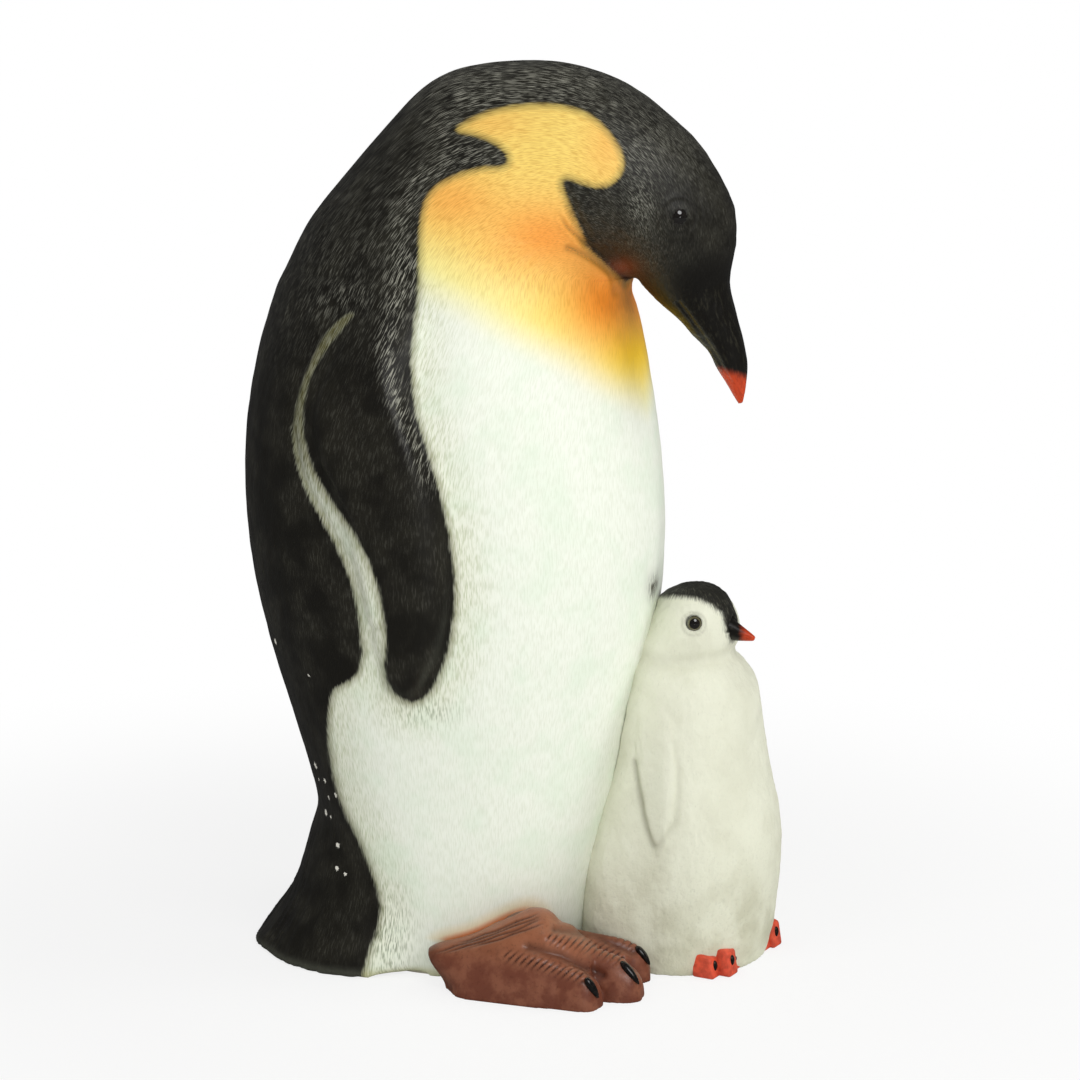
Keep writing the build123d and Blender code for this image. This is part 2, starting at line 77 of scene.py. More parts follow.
FLIPPER_STREAK = [
    (357, 310), (340, 318), (322, 338), (303, 378), (293, 420), (292, 445), (300, 478), (314, 507), (342, 557),
    (358, 608), (361, 654), (372, 668), (385, 672), (387, 640), (385, 621), (377, 579), (358, 538), (332, 501),
    (314, 472), (304, 440), (302, 415), (308, 380), (325, 350), (346, 325),
]
STREAK_LINE = [(350, 316), (326, 343), (307, 380), (300, 425), (309, 470), (336, 520), (360, 565), (373, 620)]
CHIN_CREASE = [(562, 181), (567, 195), (574, 214), (584, 234), (587, 246), (600, 258), (612, 270), (628, 283)]
# The fold under the chin and the groove below it, with painted shade in both
FOLD_LINE = [(554, 207), (567, 227), (587, 246)]
CHIN_SHADE_LINE = [(568, 248), (578, 252), (590, 259), (602, 267), (611, 275), (616, 294)]
GAPE_LINE = [(655, 274), (666, 287), (690, 318), (714, 353), (730, 382)]
NOSTRIL_LINE = [(679, 276), (687, 283), (696, 292)]
FLIPPER_RIDGE = [(386, 258), (380, 300), (374, 345), (379, 385), (394, 425), (411, 468), (428, 508)]
# Line of the painted sheen along the flippers' front edge
FLIPPER_SHEEN = [(405, 262), (393, 310), (386, 349), (396, 400), (416, 445), (427, 475), (438, 508)]
FLIPPER_ZONE = [(290, 300), (470, 300), (470, 720), (290, 720)]
RED_TIP = [(715, 368), (727, 371), (752, 377), (800, 384), (780, 440), (700, 440)]
FOOT_TOP = [(424, 951), (469, 936), (510, 920), (540, 907)]
TAIL_CHIPS = [
    (276, 641, 1.4), (310, 676, 0.6), (311, 758, 1.6), (316, 765, 1.5), (319, 779, 0.7), (325, 781, 1.0),
    (325, 793, 1.6), (329, 797, 0.8), (336, 796, 1.1), (327, 813, 1.4), (331, 816, 0.8), (337, 845, 1.2),
    (337, 868, 1.0), (344, 873, 0.7), (333, 936, 1.1), (332, 950, 1.3), (328, 953, 0.9),
]
CHICK_CAP = [
    (650, 592), (657, 598), (671, 598), (690, 598), (706, 603), (719, 613), (729, 626), (725, 636), (733, 645),
    (742, 642), (746, 634), (775, 628), (775, 540), (640, 540),
]
CHICK_FLIPPER_BACK = [(634, 762), (640, 795), (646, 826), (653, 846)]
CHICK_FLIPPER_FRONT = [(675, 742), (679, 770), (679, 800), (676, 822), (664, 840), (655, 849)]
TOE_LINES = [
    [(503, 955), (540, 964), (583, 978)],
    [(545, 938), (585, 945), (622, 958)],
    [(585, 921), (610, 928), (636, 943)],
]
WEB_LINES = [[(528, 947), (560, 955), (602, 974)], [(556, 928), (595, 935), (633, 951)]]

# Soft ovals in the photo: strength, then middle and reach in pixels. Swells are in millimetres, paints are shares
ADULT_SWELLS = [
    (-1.4, (348, 440), (20, 70)), (2.6, (259, 938), (9, 8)), (3.0, (440, 84), (74, 46)),
    (-2.0, (664, 106), (40, 34)), (1.0, (732, 205), (26, 34)), (2.2, (668, 530), (14, 56)),
]
ORANGE_POOLS = [
    (0.5, (452, 200), (46, 30)), (0.95, (606, 300), (44, 48)), (0.75, (542, 236), (56, 36)),
    (0.22, (492, 124), (36, 16)), (0.3, (606, 148), (22, 34)),
]
DEEP_YELLOW_POOLS = [(0.9, (636, 352), (36, 32)), (0.3, (560, 318), (60, 26))]
# Dry-brushed strokes on the cheek, and painted sheen on the crown and nape
BRUSH_AND_SHEEN_POOLS = [
    (0.75, (520, 76), (130, 28)), (0.9, (641, 206), (12, 20)), (0.45, (650, 140), (60, 44)),
    (0.12, (645, 255), (20, 24)),
]
RUST_POOLS = [(0.9, (622, 268), (13, 9))]
BELLY_SMUDGE = [(1.5, (657, 589), (8, 13))]
# Dark strokes low on the belly, and painted shadow under the flipper tip
DARK_STROKE_AND_SHADE_POOLS = [(0.9, (388, 938), (20, 40)), (0.5, (425, 712), (30, 12))]
FOOT_SWELLS = [(2.5, (606, 930), (28, 9)), (-2.5, (563, 917), (13, 8))]
CHICK_SWELLS = [
    (1.5, (702, 640), (30, 16)), (1.2, (704, 694), (46, 18)), (2.4, (754, 704), (20, 18)),
    (-2.0, (764, 738), (13, 9)), (1.3, (738, 612), (12, 16)), (-2.0, (690, 580), (28, 9)),
]
CHICK_SMUDGE = [(4.5, (736, 634), (10, 11))]
CHICK_WING_SHADE = [(0.12, (656, 790), (20, 60))]
# How far the streak behind the flipper is shaded, by pixels down the photo
STREAK_SHADES = [
    (312, 1), (343, 0.95), (400, 0.87), (440, 0.76), (490, 0.36), (528, 0.2), (610, 0.12), (640, 0.06), (670, 0),
]

# Each lamp: its place and width in metres and its watts
LAMPS = [
    ("key", (-1.5, -1.6, 1.9), 1.4, 21.8), ("fill", (-1.9, 0.7, 1.2), 1.2, 8),
    ("front", (0.6, -2.2, 1.0), 1.2, 16.8), ("low", (-1.7, -0.9, 0.25), 1.0, 5.5),
]
LAMP_AIM = (0.0, -0.04, 0.25)

# Places on the part, in millimetres
NECK_SEAM = 384.0
THROAT_LOW = 330.0
BELLY_TOP = 300.0
STREAK_LOW = 150.0
HEAD_FLOOR = 306.0
THROAT_FORWARD = 98.5
CHIN_LEAN = 0.43
BILL_CHIN = (119.0, 368.5)
BILL_CROWN = (155.5, 384.0)
BILL_AXIS = [(722, 342), (741, 406)]
THROAT_PAD = (620, 270)
ADULT_EYE = (32.2, -137.6, 420.0)
EYE_OUT = (0.85, -0.53, 0.0)
CHICK_PLACE = (22.0, -128.0)
CHICK_TURN = 9.0
CHICK_EYE = (22.6, -14.6, 195.0)
CHICK_PUPIL = (-4.8, -140.1, 195.5)
FOOT_PIVOT = (60.0, -64.0)
FOOT_SPLAY = 14.0
# Each claw: its middle on the right foot, the way out of the skin and the way to its tip, and its half length
CLAWS = [
    ((-95.0, -112.1, 12.4), (-0.52, -0.73, 0.43), (0.0, -0.70, -0.70), 6.6),
    ((-72.4, -126.0, 15.4), (-0.43, -0.55, 0.72), (0.0, -0.50, -0.87), 8.0),
    ((-38.7, -122.4, 14.2), (-0.19, -0.69, 0.70), (0.0, -0.45, -0.90), 6.4),
]
# Each ankle wrinkle: how far it lies below the top of the foot, and the share of its line where it starts
WRINKLES = [(2.8, 0.2), (4.6, 0.0), (6.8, 0.1), (9.2, 0.3)]
SCUTE = 3.6
# Edge of the adult's lids and the fold round them, from the middle of the eye
LID_EDGE = 5.6
LID_FOLD = 10.5
LID_CLOSE = 2.6
# In metres: how close a piece lies to its host where it is bonded, and how far it is sunk into it there
TOUCH = 0.00012
SINK = 0.003


def linear(code):
    """An sRGB hex colour as linear values."""
    parts = [int(code[i:i + 2], 16) / 255 for i in (1, 3, 5)]
    return tuple(p / 12.92 if p <= 0.04045 else ((p + 0.055) / 1.055) ** 2.4 for p in parts)


def colour(name, code, text):
    """A colour property with an sRGB hex default."""
    return bpy.props.FloatVectorProperty(
        name=name, description=text, default=linear(code), size=3, min=0.0, max=1.0, subtype="COLOR")


def length(name, millimetres, text):
    """A length property with a default in millimetres."""
    return bpy.props.FloatProperty(
        name=name, description=text, default=millimetres / 1000, min=0.0, precision=5, unit="LENGTH")


class PenguinSizes(bpy.types.PropertyGroup):
    """Sizes of the sculpted detail"""
    body_grain: length("Body grain", 2.05, "Spacing of the adult body's skin")
    head_grain: length("Head grain", 1.1, "Spacing of the adult head's skin")
    bill_grain: length("Bill grain", 0.7, "Spacing of the adult bill's skin")
    chick_grain: length("Chick grain", 1.2, "Spacing of the chick's skin")
    foot_grain: length("Foot grain", 0.8, "Spacing of the feet's skin")
    stroke_width: length("Stroke width", 0.65, "Width of one feather stroke")
    stroke_length: length("Stroke length", 7.0, "Length of one feather stroke")
    feather_depth: length("Feather depth", 0.3, "Height of the feather relief")
    flipper_ridge: length("Flipper ridge", 2.4, "Height of the rounded front edge of the flippers")
    crease_depth: length("Crease depth", 2.6, "Depth of the crease under the chin")
    eyelid_height: length("Eyelid height", 2.3, "Height of the lid round the adult's eye")


class PenguinColours(bpy.types.PropertyGroup):
    """Paints of the figurine and its stage"""
    coat: colour("Coat", "#17150F", "Black of the head, back, flippers and tail")
    # Also paints the sheen on the flipper ridges, crown and upper back, and the highlights on the lids round the
    # eyes
    coat_brush_and_sheen: colour("Dry brush", "#A3A294", "Grey strokes brushed over the black")
    belly: colour("Belly", "#F2F6E9", "White of the front")
    belly_line: colour("Belly strokes", "#B3BD98", "Green-grey in the strokes of the front")
    yellow: colour("Yellow", "#FFDF78", "Ear patch and chest")
    orange: colour("Orange", "#FF942C", "Throat and upper chest")
    olive: colour("Olive", "#36331F", "Shaded end of the streak behind the flipper")
    blush: colour("Blush", "#E9925C", "Airbrushed edge above the feet")
    bill: colour("Bill", "#12100C", "Adult's bill")
    bill_tip: colour("Bill tip", "#C4421A", "Tips of the bills")
    foot: colour("Foot", "#6E3B29", "Adult's feet")
    foot_wash: colour("Foot wash", "#2B140D", "Dark wash in the grooves of the feet")
    claw: colour("Claw", "#0D0C0B", "Claws")
    chick: colour("Chick", "#E5E6D2", "Chick's down")
    chick_grey: colour("Chick grey", "#B7B59A", "Grey mottling of the chick's down")
    chick_foot: colour("Chick foot", "#E2573A", "Chick's feet")
    resin: colour("Resin", "#CBC6B6", "Bare casting of the base plates")
    steel: colour("Steel", "#B4B5B8", "Pins")
    rubber: colour("Rubber", "#262524", "Stopper")
    floor: colour("Floor", "#F7F7F5", "Floor of the stage")


def node_copy(name):
    """A welded copy of a CAD piece."""
    copy = bmesh.new()
    copy.from_mesh(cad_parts[name].data)
    bmesh.ops.remove_doubles(copy, verts=copy.verts, dist=1e-6)
    return copy


def joined(host, guests):
    """A casting with the pieces bonded to it, each sunk a little into its host, and the points along the joins."""
    whole = node_copy(host)
    joins = []
    for guest, onto in guests:
        base = node_copy(onto)
        wall = BVHTree.FromBMesh(base)
        base.free()
        piece = node_copy(guest)
        sunk = {}
        for vert in piece.verts:
            spot, normal = wall.find_nearest(vert.co, TOUCH)[:2]
            if spot is not None:
                sunk[vert] = normal
        for vert in sunk:
            if any(edge.other_vert(vert) not in sunk for edge in vert.link_edges):
                joins.append((guest, vert.co * 1000))
        for vert, normal in sunk.items():
            vert.co -= normal * SINK
        mesh = bpy.data.meshes.new(guest)
        piece.to_mesh(mesh)
        piece.free()
        whole.from_mesh(mesh)
        bpy.data.meshes.remove(mesh)
    return whole, joins


def remeshed(rough, name, grain):
    """A new object with one even skin round a rough mesh, which is freed, without the skins of its hollows."""
    mesh = bpy.data.meshes.new(name)
    rough.to_mesh(mesh)
    rough.free()
    piece = bpy.data.objects.new(name, mesh)
    bpy.context.scene.collection.objects.link(piece)
    skin = piece.modifiers.new("Skin", "REMESH")
    skin.mode = "VOXEL"
    skin.voxel_size = grain
    fresh = bpy.data.meshes.new_from_object(piece.evaluated_get(bpy.context.evaluated_depsgraph_get()))
    piece.modifiers.clear()
    piece.data = fresh
    bpy.data.meshes.remove(mesh)
    fresh.name = name
    whole = bmesh.new()
    whole.from_mesh(fresh)
    first = max(whole.verts, key=lambda vert: vert.co.x)
    seen = {first}
    queue = [first]
    while queue:
        vert = queue.pop()
        for edge in vert.link_edges:
            other = edge.other_vert(vert)
            if other not in seen:
                seen.add(other)
                queue.append(other)
    bmesh.ops.delete(whole, geom=[vert for vert in whole.verts if vert not in seen], context="VERTS")
    for face in whole.faces:
        face.smooth = True
    whole.to_mesh(fresh)
    whole.free()
    return piece


def points_of(mesh):
    """Vertex places in millimetres."""
    flat = np.empty(len(mesh.vertices) * 3)
    mesh.vertices.foreach_get("co", flat)
    return flat.reshape(-1, 3) * 1000


def set_points(mesh, points):
    """Writes vertex places given in millimetres."""
    mesh.vertices.foreach_set("co", (points / 1000).ravel())
    mesh.update()


def normals_of(mesh):
    """Vertex normals."""
    flat = np.empty(len(mesh.vertices) * 3)
    mesh.vertex_normals.foreach_get("vector", flat)
    return flat.reshape(-1, 3)


def neighbour_mean(mesh):
    """A function that gives each point the mean of its neighbours' values."""
    edges = np.empty(len(mesh.edges) * 2, dtype=np.int32)
    mesh.edges.foreach_get("vertices", edges)
    one, two = edges.reshape(-1, 2).T
    total = len(mesh.vertices)
    count = np.bincount(one, minlength=total) + np.bincount(two, minlength=total)

    def mean(line):
        return (np.bincount(one, line[two], total) + np.bincount(two, line[one], total)) / count

    return mean


def relaxed(mesh, weight, rounds, swell=0.0):
    """Evens a mesh out where weight is above zero; swell puts back the size that this takes away."""
    points = points_of(mesh)
    mean = neighbour_mean(mesh)
    steps = [0.5, -swell] if swell else [0.5]
    for axis in range(3):
        line = points[:, axis].copy()
        for step in steps * int(rounds):
            line += weight * step * (mean(line) - line)
        points[:, axis] = line
    set_points(mesh, points)


def evened(mesh, weight, spread, spacing):
    """Takes the flats of the coarse CAD mesh out of a skin and puts back what the smoothing shrinks."""
    points = points_of(mesh)
    mean = neighbour_mean(mesh)
    rounds = int((spread / spacing) ** 2 / 0.375)

    def soft(line):
        line = line.copy()
        for step in range(rounds):
            line += 0.75 * (mean(line) - line)
        return line

    for axis in range(3):
        line = points[:, axis]
        smooth = soft(line)
        smooth += soft(line - smooth)
        points[:, axis] = line + weight * (smooth - line)
    set_points(mesh, points)


def join_weight(points, joins, reach, strength):
    """How close each point is to a join, from 1 on it to 0 beyond its reach, scaled by the join's strength."""
    tree = KDTree(len(joins))
    for index, (guest, spot) in enumerate(joins):
        tree.insert(spot, index)
    tree.balance()
    weight = np.zeros(len(points))
    for index, point in enumerate(points):
        spot, found, gap = tree.find(point)
        if gap < reach:
            weight[index] = (1 - (gap / reach) ** 2) * strength(joins[found][0], spot)
    return weight


def smooth_step(value, low, high):
    """0 below low, 1 above high and eased between."""
    share = np.clip((value - low) / (high - low), 0, 1)
    return share * share * (3 - 2 * share)


def camera_axes():
    """Right, up and back of the photo's camera, and its place in millimetres."""
    turn, rise = math.radians(LOOK_TURN), math.radians(LOOK_RISE)
    back = np.array([math.sin(turn) * math.cos(rise), -math.cos(turn) * math.cos(rise), math.sin(rise)])
    right = np.array([math.cos(turn), math.sin(turn), 0.0])
    return right, np.cross(back, right), back, np.array(LOOK_AIM) + back * LOOK_DISTANCE


def photo_spots(points):
    """The photo's pixels that points fall on."""
    right, up, back, place = camera_axes()
    away = points - place
    depth = -(away @ back)
    half = PHOTO_SIZE / 2
    return np.stack([half + LOOK_FOCUS * (away @ right) / depth, half - LOOK_FOCUS * (away @ up) / depth], axis=1)


def mid_point(spot):
    """The point of the adult's mirror plane that a pixel of the photo shows."""
    right, up, back, place = camera_axes()
    half = PHOTO_SIZE / 2
    way = right * (spot[0] - half) - up * (spot[1] - half) - back * LOOK_FOCUS
    return place - way * (place[0] / way[0])


def folded(points, side=-1):
    """Points with both halves on one side of the mirror plane."""
    half = points.copy()
    half[:, 0] = side * np.abs(half[:, 0])
    return half


def turned(across, ahead, degrees):
    """Two level coordinates turned round the upright axis."""
    turn = math.radians(degrees)
    return across * math.cos(turn) - ahead * math.sin(turn), across * math.sin(turn) + ahead * math.cos(turn)


def chick_local(points):
    """Points in the chick's own axes."""
    local = points.copy()
    local[:, 0], local[:, 1] = turned(points[:, 0] - CHICK_PLACE[0], points[:, 1] - CHICK_PLACE[1], CHICK_TURN)
    return local


def chick_world(local):
    """Points given in the chick's own axes, in the part's axes."""
    points = local.copy()
    across, behind = turned(local[:, 0], local[:, 1], -CHICK_TURN)
    points[:, 0], points[:, 1] = CHICK_PLACE[0] + across, CHICK_PLACE[1] + behind
    return points


def adult_spots(points):
    """The photo's pixels of the adult's points, with its far side folded onto its near side."""
    return photo_spots(folded(points))


def chick_spots(points):
    """The photo's pixels of the chick's points, with its far side folded onto its near side."""
    return photo_spots(chick_world(folded(chick_local(points))))


def right_foot_points(points, left):
    """Points of a foot as those of the right foot."""
    if not left:
        return points
    moved = points.copy()
    across, ahead = turned(points[:, 0] - FOOT_PIVOT[0], FOOT_PIVOT[1] - points[:, 1], FOOT_SPLAY)
    moved[:, 0], moved[:, 1] = -FOOT_PIVOT[0] - across, FOOT_PIVOT[1] - ahead
    return moved


def own_foot_points(points, left):
    """Points of the right foot as those of the foot itself."""
    if not left:
        return points
    moved = points.copy()
    across, ahead = turned(-FOOT_PIVOT[0] - points[:, 0], FOOT_PIVOT[1] - points[:, 1], -FOOT_SPLAY)
    moved[:, 0], moved[:, 1] = FOOT_PIVOT[0] + across, FOOT_PIVOT[1] - ahead
    return moved


def rounded(outline):
    """A closed outline with its corners cut twice."""
    for step in range(2):
        cut_corners = []
        for start, end in zip(outline, outline[1:] + outline[:1]):
            for share in (0.25, 0.75):
                cut_corners.append((start[0] + (end[0] - start[0]) * share, start[1] + (end[1] - start[1]) * share))
        outline = cut_corners
    return outline


def side_gap(spots, start, end):
    """How many pixels spots lie from a straight line, and how far along it, as a share."""
    along = np.subtract(end, start, dtype=float)
    share = np.clip(((spots - start) @ along) / (along @ along), 0, 1)
    away = spots - start - share[:, None] * along
    return np.hypot(away[:, 0], away[:, 1]), share


def outline_depth(spots, outline):
    """How far spots lie inside a closed outline, in millimetres; negative outside."""
    nearest = np.full(len(spots), FAR)
    inside = np.zeros(len(spots), dtype=bool)
    for start, end in zip(outline, outline[1:] + outline[:1]):
        nearest = np.minimum(nearest, side_gap(spots, start, end)[0])
        if start[1] != end[1]:
            crossed = (start[1] > spots[:, 1]) != (end[1] > spots[:, 1])
            lean = (end[0] - start[0]) / (end[1] - start[1])
            inside ^= crossed & (spots[:, 0] < start[0] + (spots[:, 1] - start[1]) * lean)
    return np.where(inside, nearest, -nearest) * MM_PER_PIXEL


def line_gap(spots, line):
    """How far spots lie from an open line, in millimetres, and how far along it, as a share."""
    nearest = np.full(len(spots), FAR)
    reached = np.zeros(len(spots))
    done = 0.0
    for start, end in zip(line, line[1:]):
        gap, share = side_gap(spots, start, end)
        size = math.dist(start, end)
        reached = np.where(gap < nearest, done + share * size, reached)
        nearest = np.minimum(nearest, gap)
        done += size
    return nearest * MM_PER_PIXEL, reached / done


def line_length(line):
    """The length of an open line, in millimetres."""
    return sum(math.dist(start, end) for start, end in zip(line, line[1:])) * MM_PER_PIXEL


def ridge(gap, width):
    """A soft rounded section, 1 on the line and falling off over its width."""
    return np.exp(-(gap / width) ** 2)


def pools(spots, ovals):
    """The sum of soft ovals, each with its strength in the middle, its middle and its reach."""
    total = np.zeros(len(spots))
    for strength, middle, reach in ovals:
        total += strength * np.exp(-(((spots - middle) / reach) ** 2).sum(axis=1))
    return total


def noise_field(coords):
    """Smooth noise at each coordinate, from -1 to 1."""
    return np.array([noise.noise(spot) for spot in coords.tolist()])


def feather_flow(points):
    """Coordinates across and along the feathers in millimetres: up the body, then round the bend of the neck."""
    ahead = -points[:, 1]
    bend = np.arctan2(points[:, 2] - NECK_SEAM, ahead - THROAT_FORWARD)
    on_head = (points[:, 2] > NECK_SEAM) | (ahead > THROAT_FORWARD + (NECK_SEAM - points[:, 2]) * CHIN_LEAN)
    reach = np.hypot(points[:, 2] - NECK_SEAM, ahead - THROAT_FORWARD)
    lean = math.pi - bend
    arc = lean * (reach + (100 - reach) * smooth_step(lean, 0, 0.9))
    along = np.where(on_head, NECK_SEAM + arc, points[:, 2])
    middle = 30 + 72 * smooth_step(bend, 0, math.pi)
    outward = np.where(on_head, reach - middle, -ahead - 3.5)
    slant = np.where(points[:, 0] < 0, -42, 42) * smooth_step(along, 260, 500)
    across = np.arctan2(points[:, 0], outward) * 78 - slant
    return np.stack([across, along, np.zeros(len(points))], axis=1)


def store(mesh, name, values):
    """Keeps values on a mesh's points for its paint."""
    if values.ndim == 2:
        mesh.attributes.new(name, "FLOAT_VECTOR", "POINT").data.foreach_set("vector", values.ravel())
    else:
        mesh.attributes.new(name, "FLOAT", "POINT").data.foreach_set("value", values)


def cut(mesh, spot, normal, keep):
    """Cuts a mesh by a plane, drops the faces that keep says no to and caps the cut."""
    whole = bmesh.new()
    whole.from_mesh(mesh)
    near = [face for face in whole.faces if keep(face.calc_center_median() * 1000) is None]
    geom = list({item for face in near for item in list(face.verts) + list(face.edges)}) + near
    bmesh.ops.bisect_plane(whole, geom=geom, dist=1e-7, plane_co=Vector(spot) / 1000, plane_no=Vector(normal))
    level = Vector(normal).normalized()
    start = Vector(spot)
    dropped = []
    for face in whole.faces:
        middle = face.calc_center_median() * 1000
        wanted = keep(middle)
        if wanted is None:
            wanted = (middle - start).dot(level) < 0
        if not wanted:
            dropped.append(face)
    bmesh.ops.delete(whole, geom=dropped, context="FACES")
    rim = [edge for edge in whole.edges if edge.is_boundary]
    for edge in rim:
        edge.smooth = False
    caps = bmesh.ops.holes_fill(whole, edges=rim, sides=0)["faces"]
    for face in caps:
        face.smooth = False
    bmesh.ops.triangulate(whole, faces=caps)
    whole.to_mesh(mesh)
    whole.free()
    mesh.update()


class Tone:
    """A value in a paint's node tree that can be added to, taken away and multiplied."""

    def __init__(self, tree, socket):
        self.tree, self.socket = tree, socket

    def reckon(self, operation, first, second):
        return add(self.tree, "Math", {0: first, 1: second}, operation=operation)

    def __add__(self, other):
        return self.reckon("ADD", self, other)

    def __sub__(self, other):
        return self.reckon("SUBTRACT", self, other)

    def __rsub__(self, other):
        return self.reckon("SUBTRACT", other, self)

    def __mul__(self, other):
        return self.reckon("MULTIPLY", self, other)

    def capped(self, limit):
        return self.reckon("MINIMUM", self, limit)


def join(value, socket):
    """Leads a tone to a socket, or sets the socket to a constant."""
    if isinstance(value, Tone):
        value.tree.links.new(value.socket, socket)
    else:
        socket.default_value = value


def add(tree, kind, inputs=(), out=0, **settings):
    """Adds a shader node with its settings and links, and gives one of its outputs."""
    node = tree.nodes.new("ShaderNode" + kind)
    for name, setting in settings.items():
        setattr(node, name, setting)
    for key, value in dict(inputs).items():
        join(value, node.inputs[key])
    return Tone(tree, node.outputs[out])


def fade(value, low, high):
    """A value eased to 0 at low and 1 at high."""
    inputs = {"Value": value, "From Min": low, "From Max": high}
    return add(value.tree, "MapRange", inputs, interpolation_type="SMOOTHSTEP")


def paint(share, under, over):
    """One colour over another; each is a tone, a hex code or linear values."""
    inputs = {0: share}
    for key, value in ((6, under), (7, over)):
        if isinstance(value, str):
            value = linear(value)
        inputs[key] = value if isinstance(value, Tone) else (*value, 1.0)
    return add(share.tree, "Mix", inputs, 2, data_type="RGBA")


def layered(base, coats):
    """Coats of paint laid over a base in turn, each with its share and its colour."""
    for share, over in coats:
        base = paint(share, base, over)
    return base


def kept(tree, name, out="Fac"):
    """Values that store() left on the mesh."""
    return add(tree, "Attribute", (), out, attribute_name=name)


def grain(vector, width, along, detail=2.0):
    """Noise stretched along the strokes, with its real width and length in metres."""
    scaled = add(vector.tree, "VectorMath", {0: vector, 1: (1 / width, 1 / along, 1 / width)}, operation="MULTIPLY")
    return add(vector.tree, "TexNoise", {"Vector": scaled, "Scale": 1.0, "Detail": detail, "Roughness": 0.55})


def new_material(name):
    """An empty material, with its node tree and its shader."""
    material = bpy.data.materials.new(name)
    material.use_nodes = True
    return material, material.node_tree, material.node_tree.nodes["Principled BSDF"]


def object_place(tree):
    """Places on the object, in metres."""
    return add(tree, "TexCoord", (), "Object")


def finish_material(shader, base, roughness, height=None, depth=0.0, strength=0.0):
    """Joins colour, roughness and relief to the shader."""
    join(base, shader.inputs["Base Color"])
    join(roughness, shader.inputs["Roughness"])
    if height is not None:
        inputs = {"Height": height, "Strength": strength, "Distance": depth}
        join(add(height.tree, "Bump", inputs), shader.inputs["Normal"])


def plumage_material(colours, sizes):
    """Hand-painted feathers: dry-brushed olive black, fine green-grey strokes in the white, airbrushed yellow."""
    material, tree, shader = new_material("painted_plumage")
    flow = kept(tree, "flow", "Vector")
    stroke = grain(flow, sizes.stroke_width, sizes.stroke_length, 1.0)
    hair = grain(flow, sizes.stroke_width * 0.6, sizes.stroke_length * 0.7, 1.0)
    streaky = (stroke + hair) * 0.5
    patches = grain(object_place(tree), 0.024, 0.024)
    coat = kept(tree, "coat")
    ragged = coat + (stroke - 0.5) * 0.0035
    edge = 1.0 - fade(coat, 0.0, 0.030)
    fringe = 1.0 - fade(ragged, 0.0004, 0.0055)
    line = fade(streaky, 0.58, 0.36)
    warm = kept(tree, "warm")
    near_foot = kept(tree, "blush")
    rim = kept(tree, "rim")

    front = paint(line * (edge * 0.55 + 0.2), colours.belly, colours.belly_line)
    front = layered(front, [
        (edge * 0.2, "#D5D3A8"),
        (fade(patches, 0.4, 0.75) * 0.35, "#D8ECD2"),
        # Airbrushed lemon, gold and orange from the white up to the ear
        (fade(warm, 0.0, 0.45), paint(line * 0.3, "#FAF1A0", "#CFC268")),
        (fade(warm, 0.25, 0.8), paint(line * 0.55, colours.yellow, "#CC9232")),
        (kept(tree, "deep"), "#FFD60C"),
        (kept(tree, "orange"), paint(line * 0.4, colours.orange, "#D07426")),
        # Blush above the feet
        (fade(near_foot, 0.009, 0.002) * 0.6, "#F6E2AE"),
        (fade(near_foot, 0.004, 0.0005) * 0.95, colours.blush),
        # The streak's shaded end, the edge of the black, dark strokes low on the belly with painted shadow under
        # the flipper tip, and painted shade in the folds under the chin with a dark smudge on the belly
        ((kept(tree, "olive") * (line * 0.5 + 0.78)).capped(1.0), colours.olive),
        (fringe * 0.55, "#6E6A3C"),
        (rim * 0.6, "#B9B57E"),
        (fade(streaky, 0.52, 0.40) * kept(tree, "dark_strokes_and_shade") * 0.7, "#4A5440"),
        (kept(tree, "crease_shade_and_smudge") * fade(streaky, 0.35, 0.6), "#2E2810"),
    ])

    sleek = kept(tree, "sleek")
    loose = 1.0 - sleek
    ticks = fade(streaky, 0.50, 0.62)
    worn = ticks * fade(patches, 0.38, 0.66)
    chip = kept(tree, "chip") + (grain(flow, 0.0008, 0.0012, 2.0) - 0.5) * 0.003
    back = paint(fade(patches, 0.35, 0.7), colours.coat, "#24221A")
    back = layered(back, [
        (sleek, colours.bill),
        (kept(tree, "rust"), "#7A3410"),
        # Grey dry-brushed strokes and random wear over the black, with painted sheen on the flipper ridges, crown
        # and upper back and painted highlights on the lids
        ((worn * 0.07 + ticks * kept(tree, "brush_and_sheen")) * loose, colours.coat_brush_and_sheen),
        (rim * 0.5, "#5A5C50"),
        (fade(chip, 0.0002, -0.0002), "#E4E1D6"),
    ])

    base = paint(fade(ragged, -0.0012, 0.0016), back, front)
    finish_material(shader, base, stroke * 0.2 + 0.34, streaky * loose, sizes.feather_depth, 0.7)
    shader.inputs["Specular IOR Level"].default_value = 0.4
    return material


def bill_material(colours):
    """Satin black horn paint that turns into a red tip."""
    material, tree, shader = new_material("painted_bill")
    stroke = grain(kept(tree, "flow", "Vector"), 0.0012, 0.009)
    dark = paint(fade(stroke, 0.52, 0.75) * 0.45, colours.bill, "#3A382A")
    red = paint(fade(stroke, 0.55, 0.35) * 0.4, colours.bill_tip, "#8E2C16")
    base = paint(fade(kept(tree, "tip") + stroke * 0.003, -0.001, 0.0052), dark, red)
    finish_material(shader, base, stroke * 0.2 + 0.24, stroke, 0.00006, 0.5)
    shader.inputs["Specular IOR Level"].default_value = 0.4
    return material


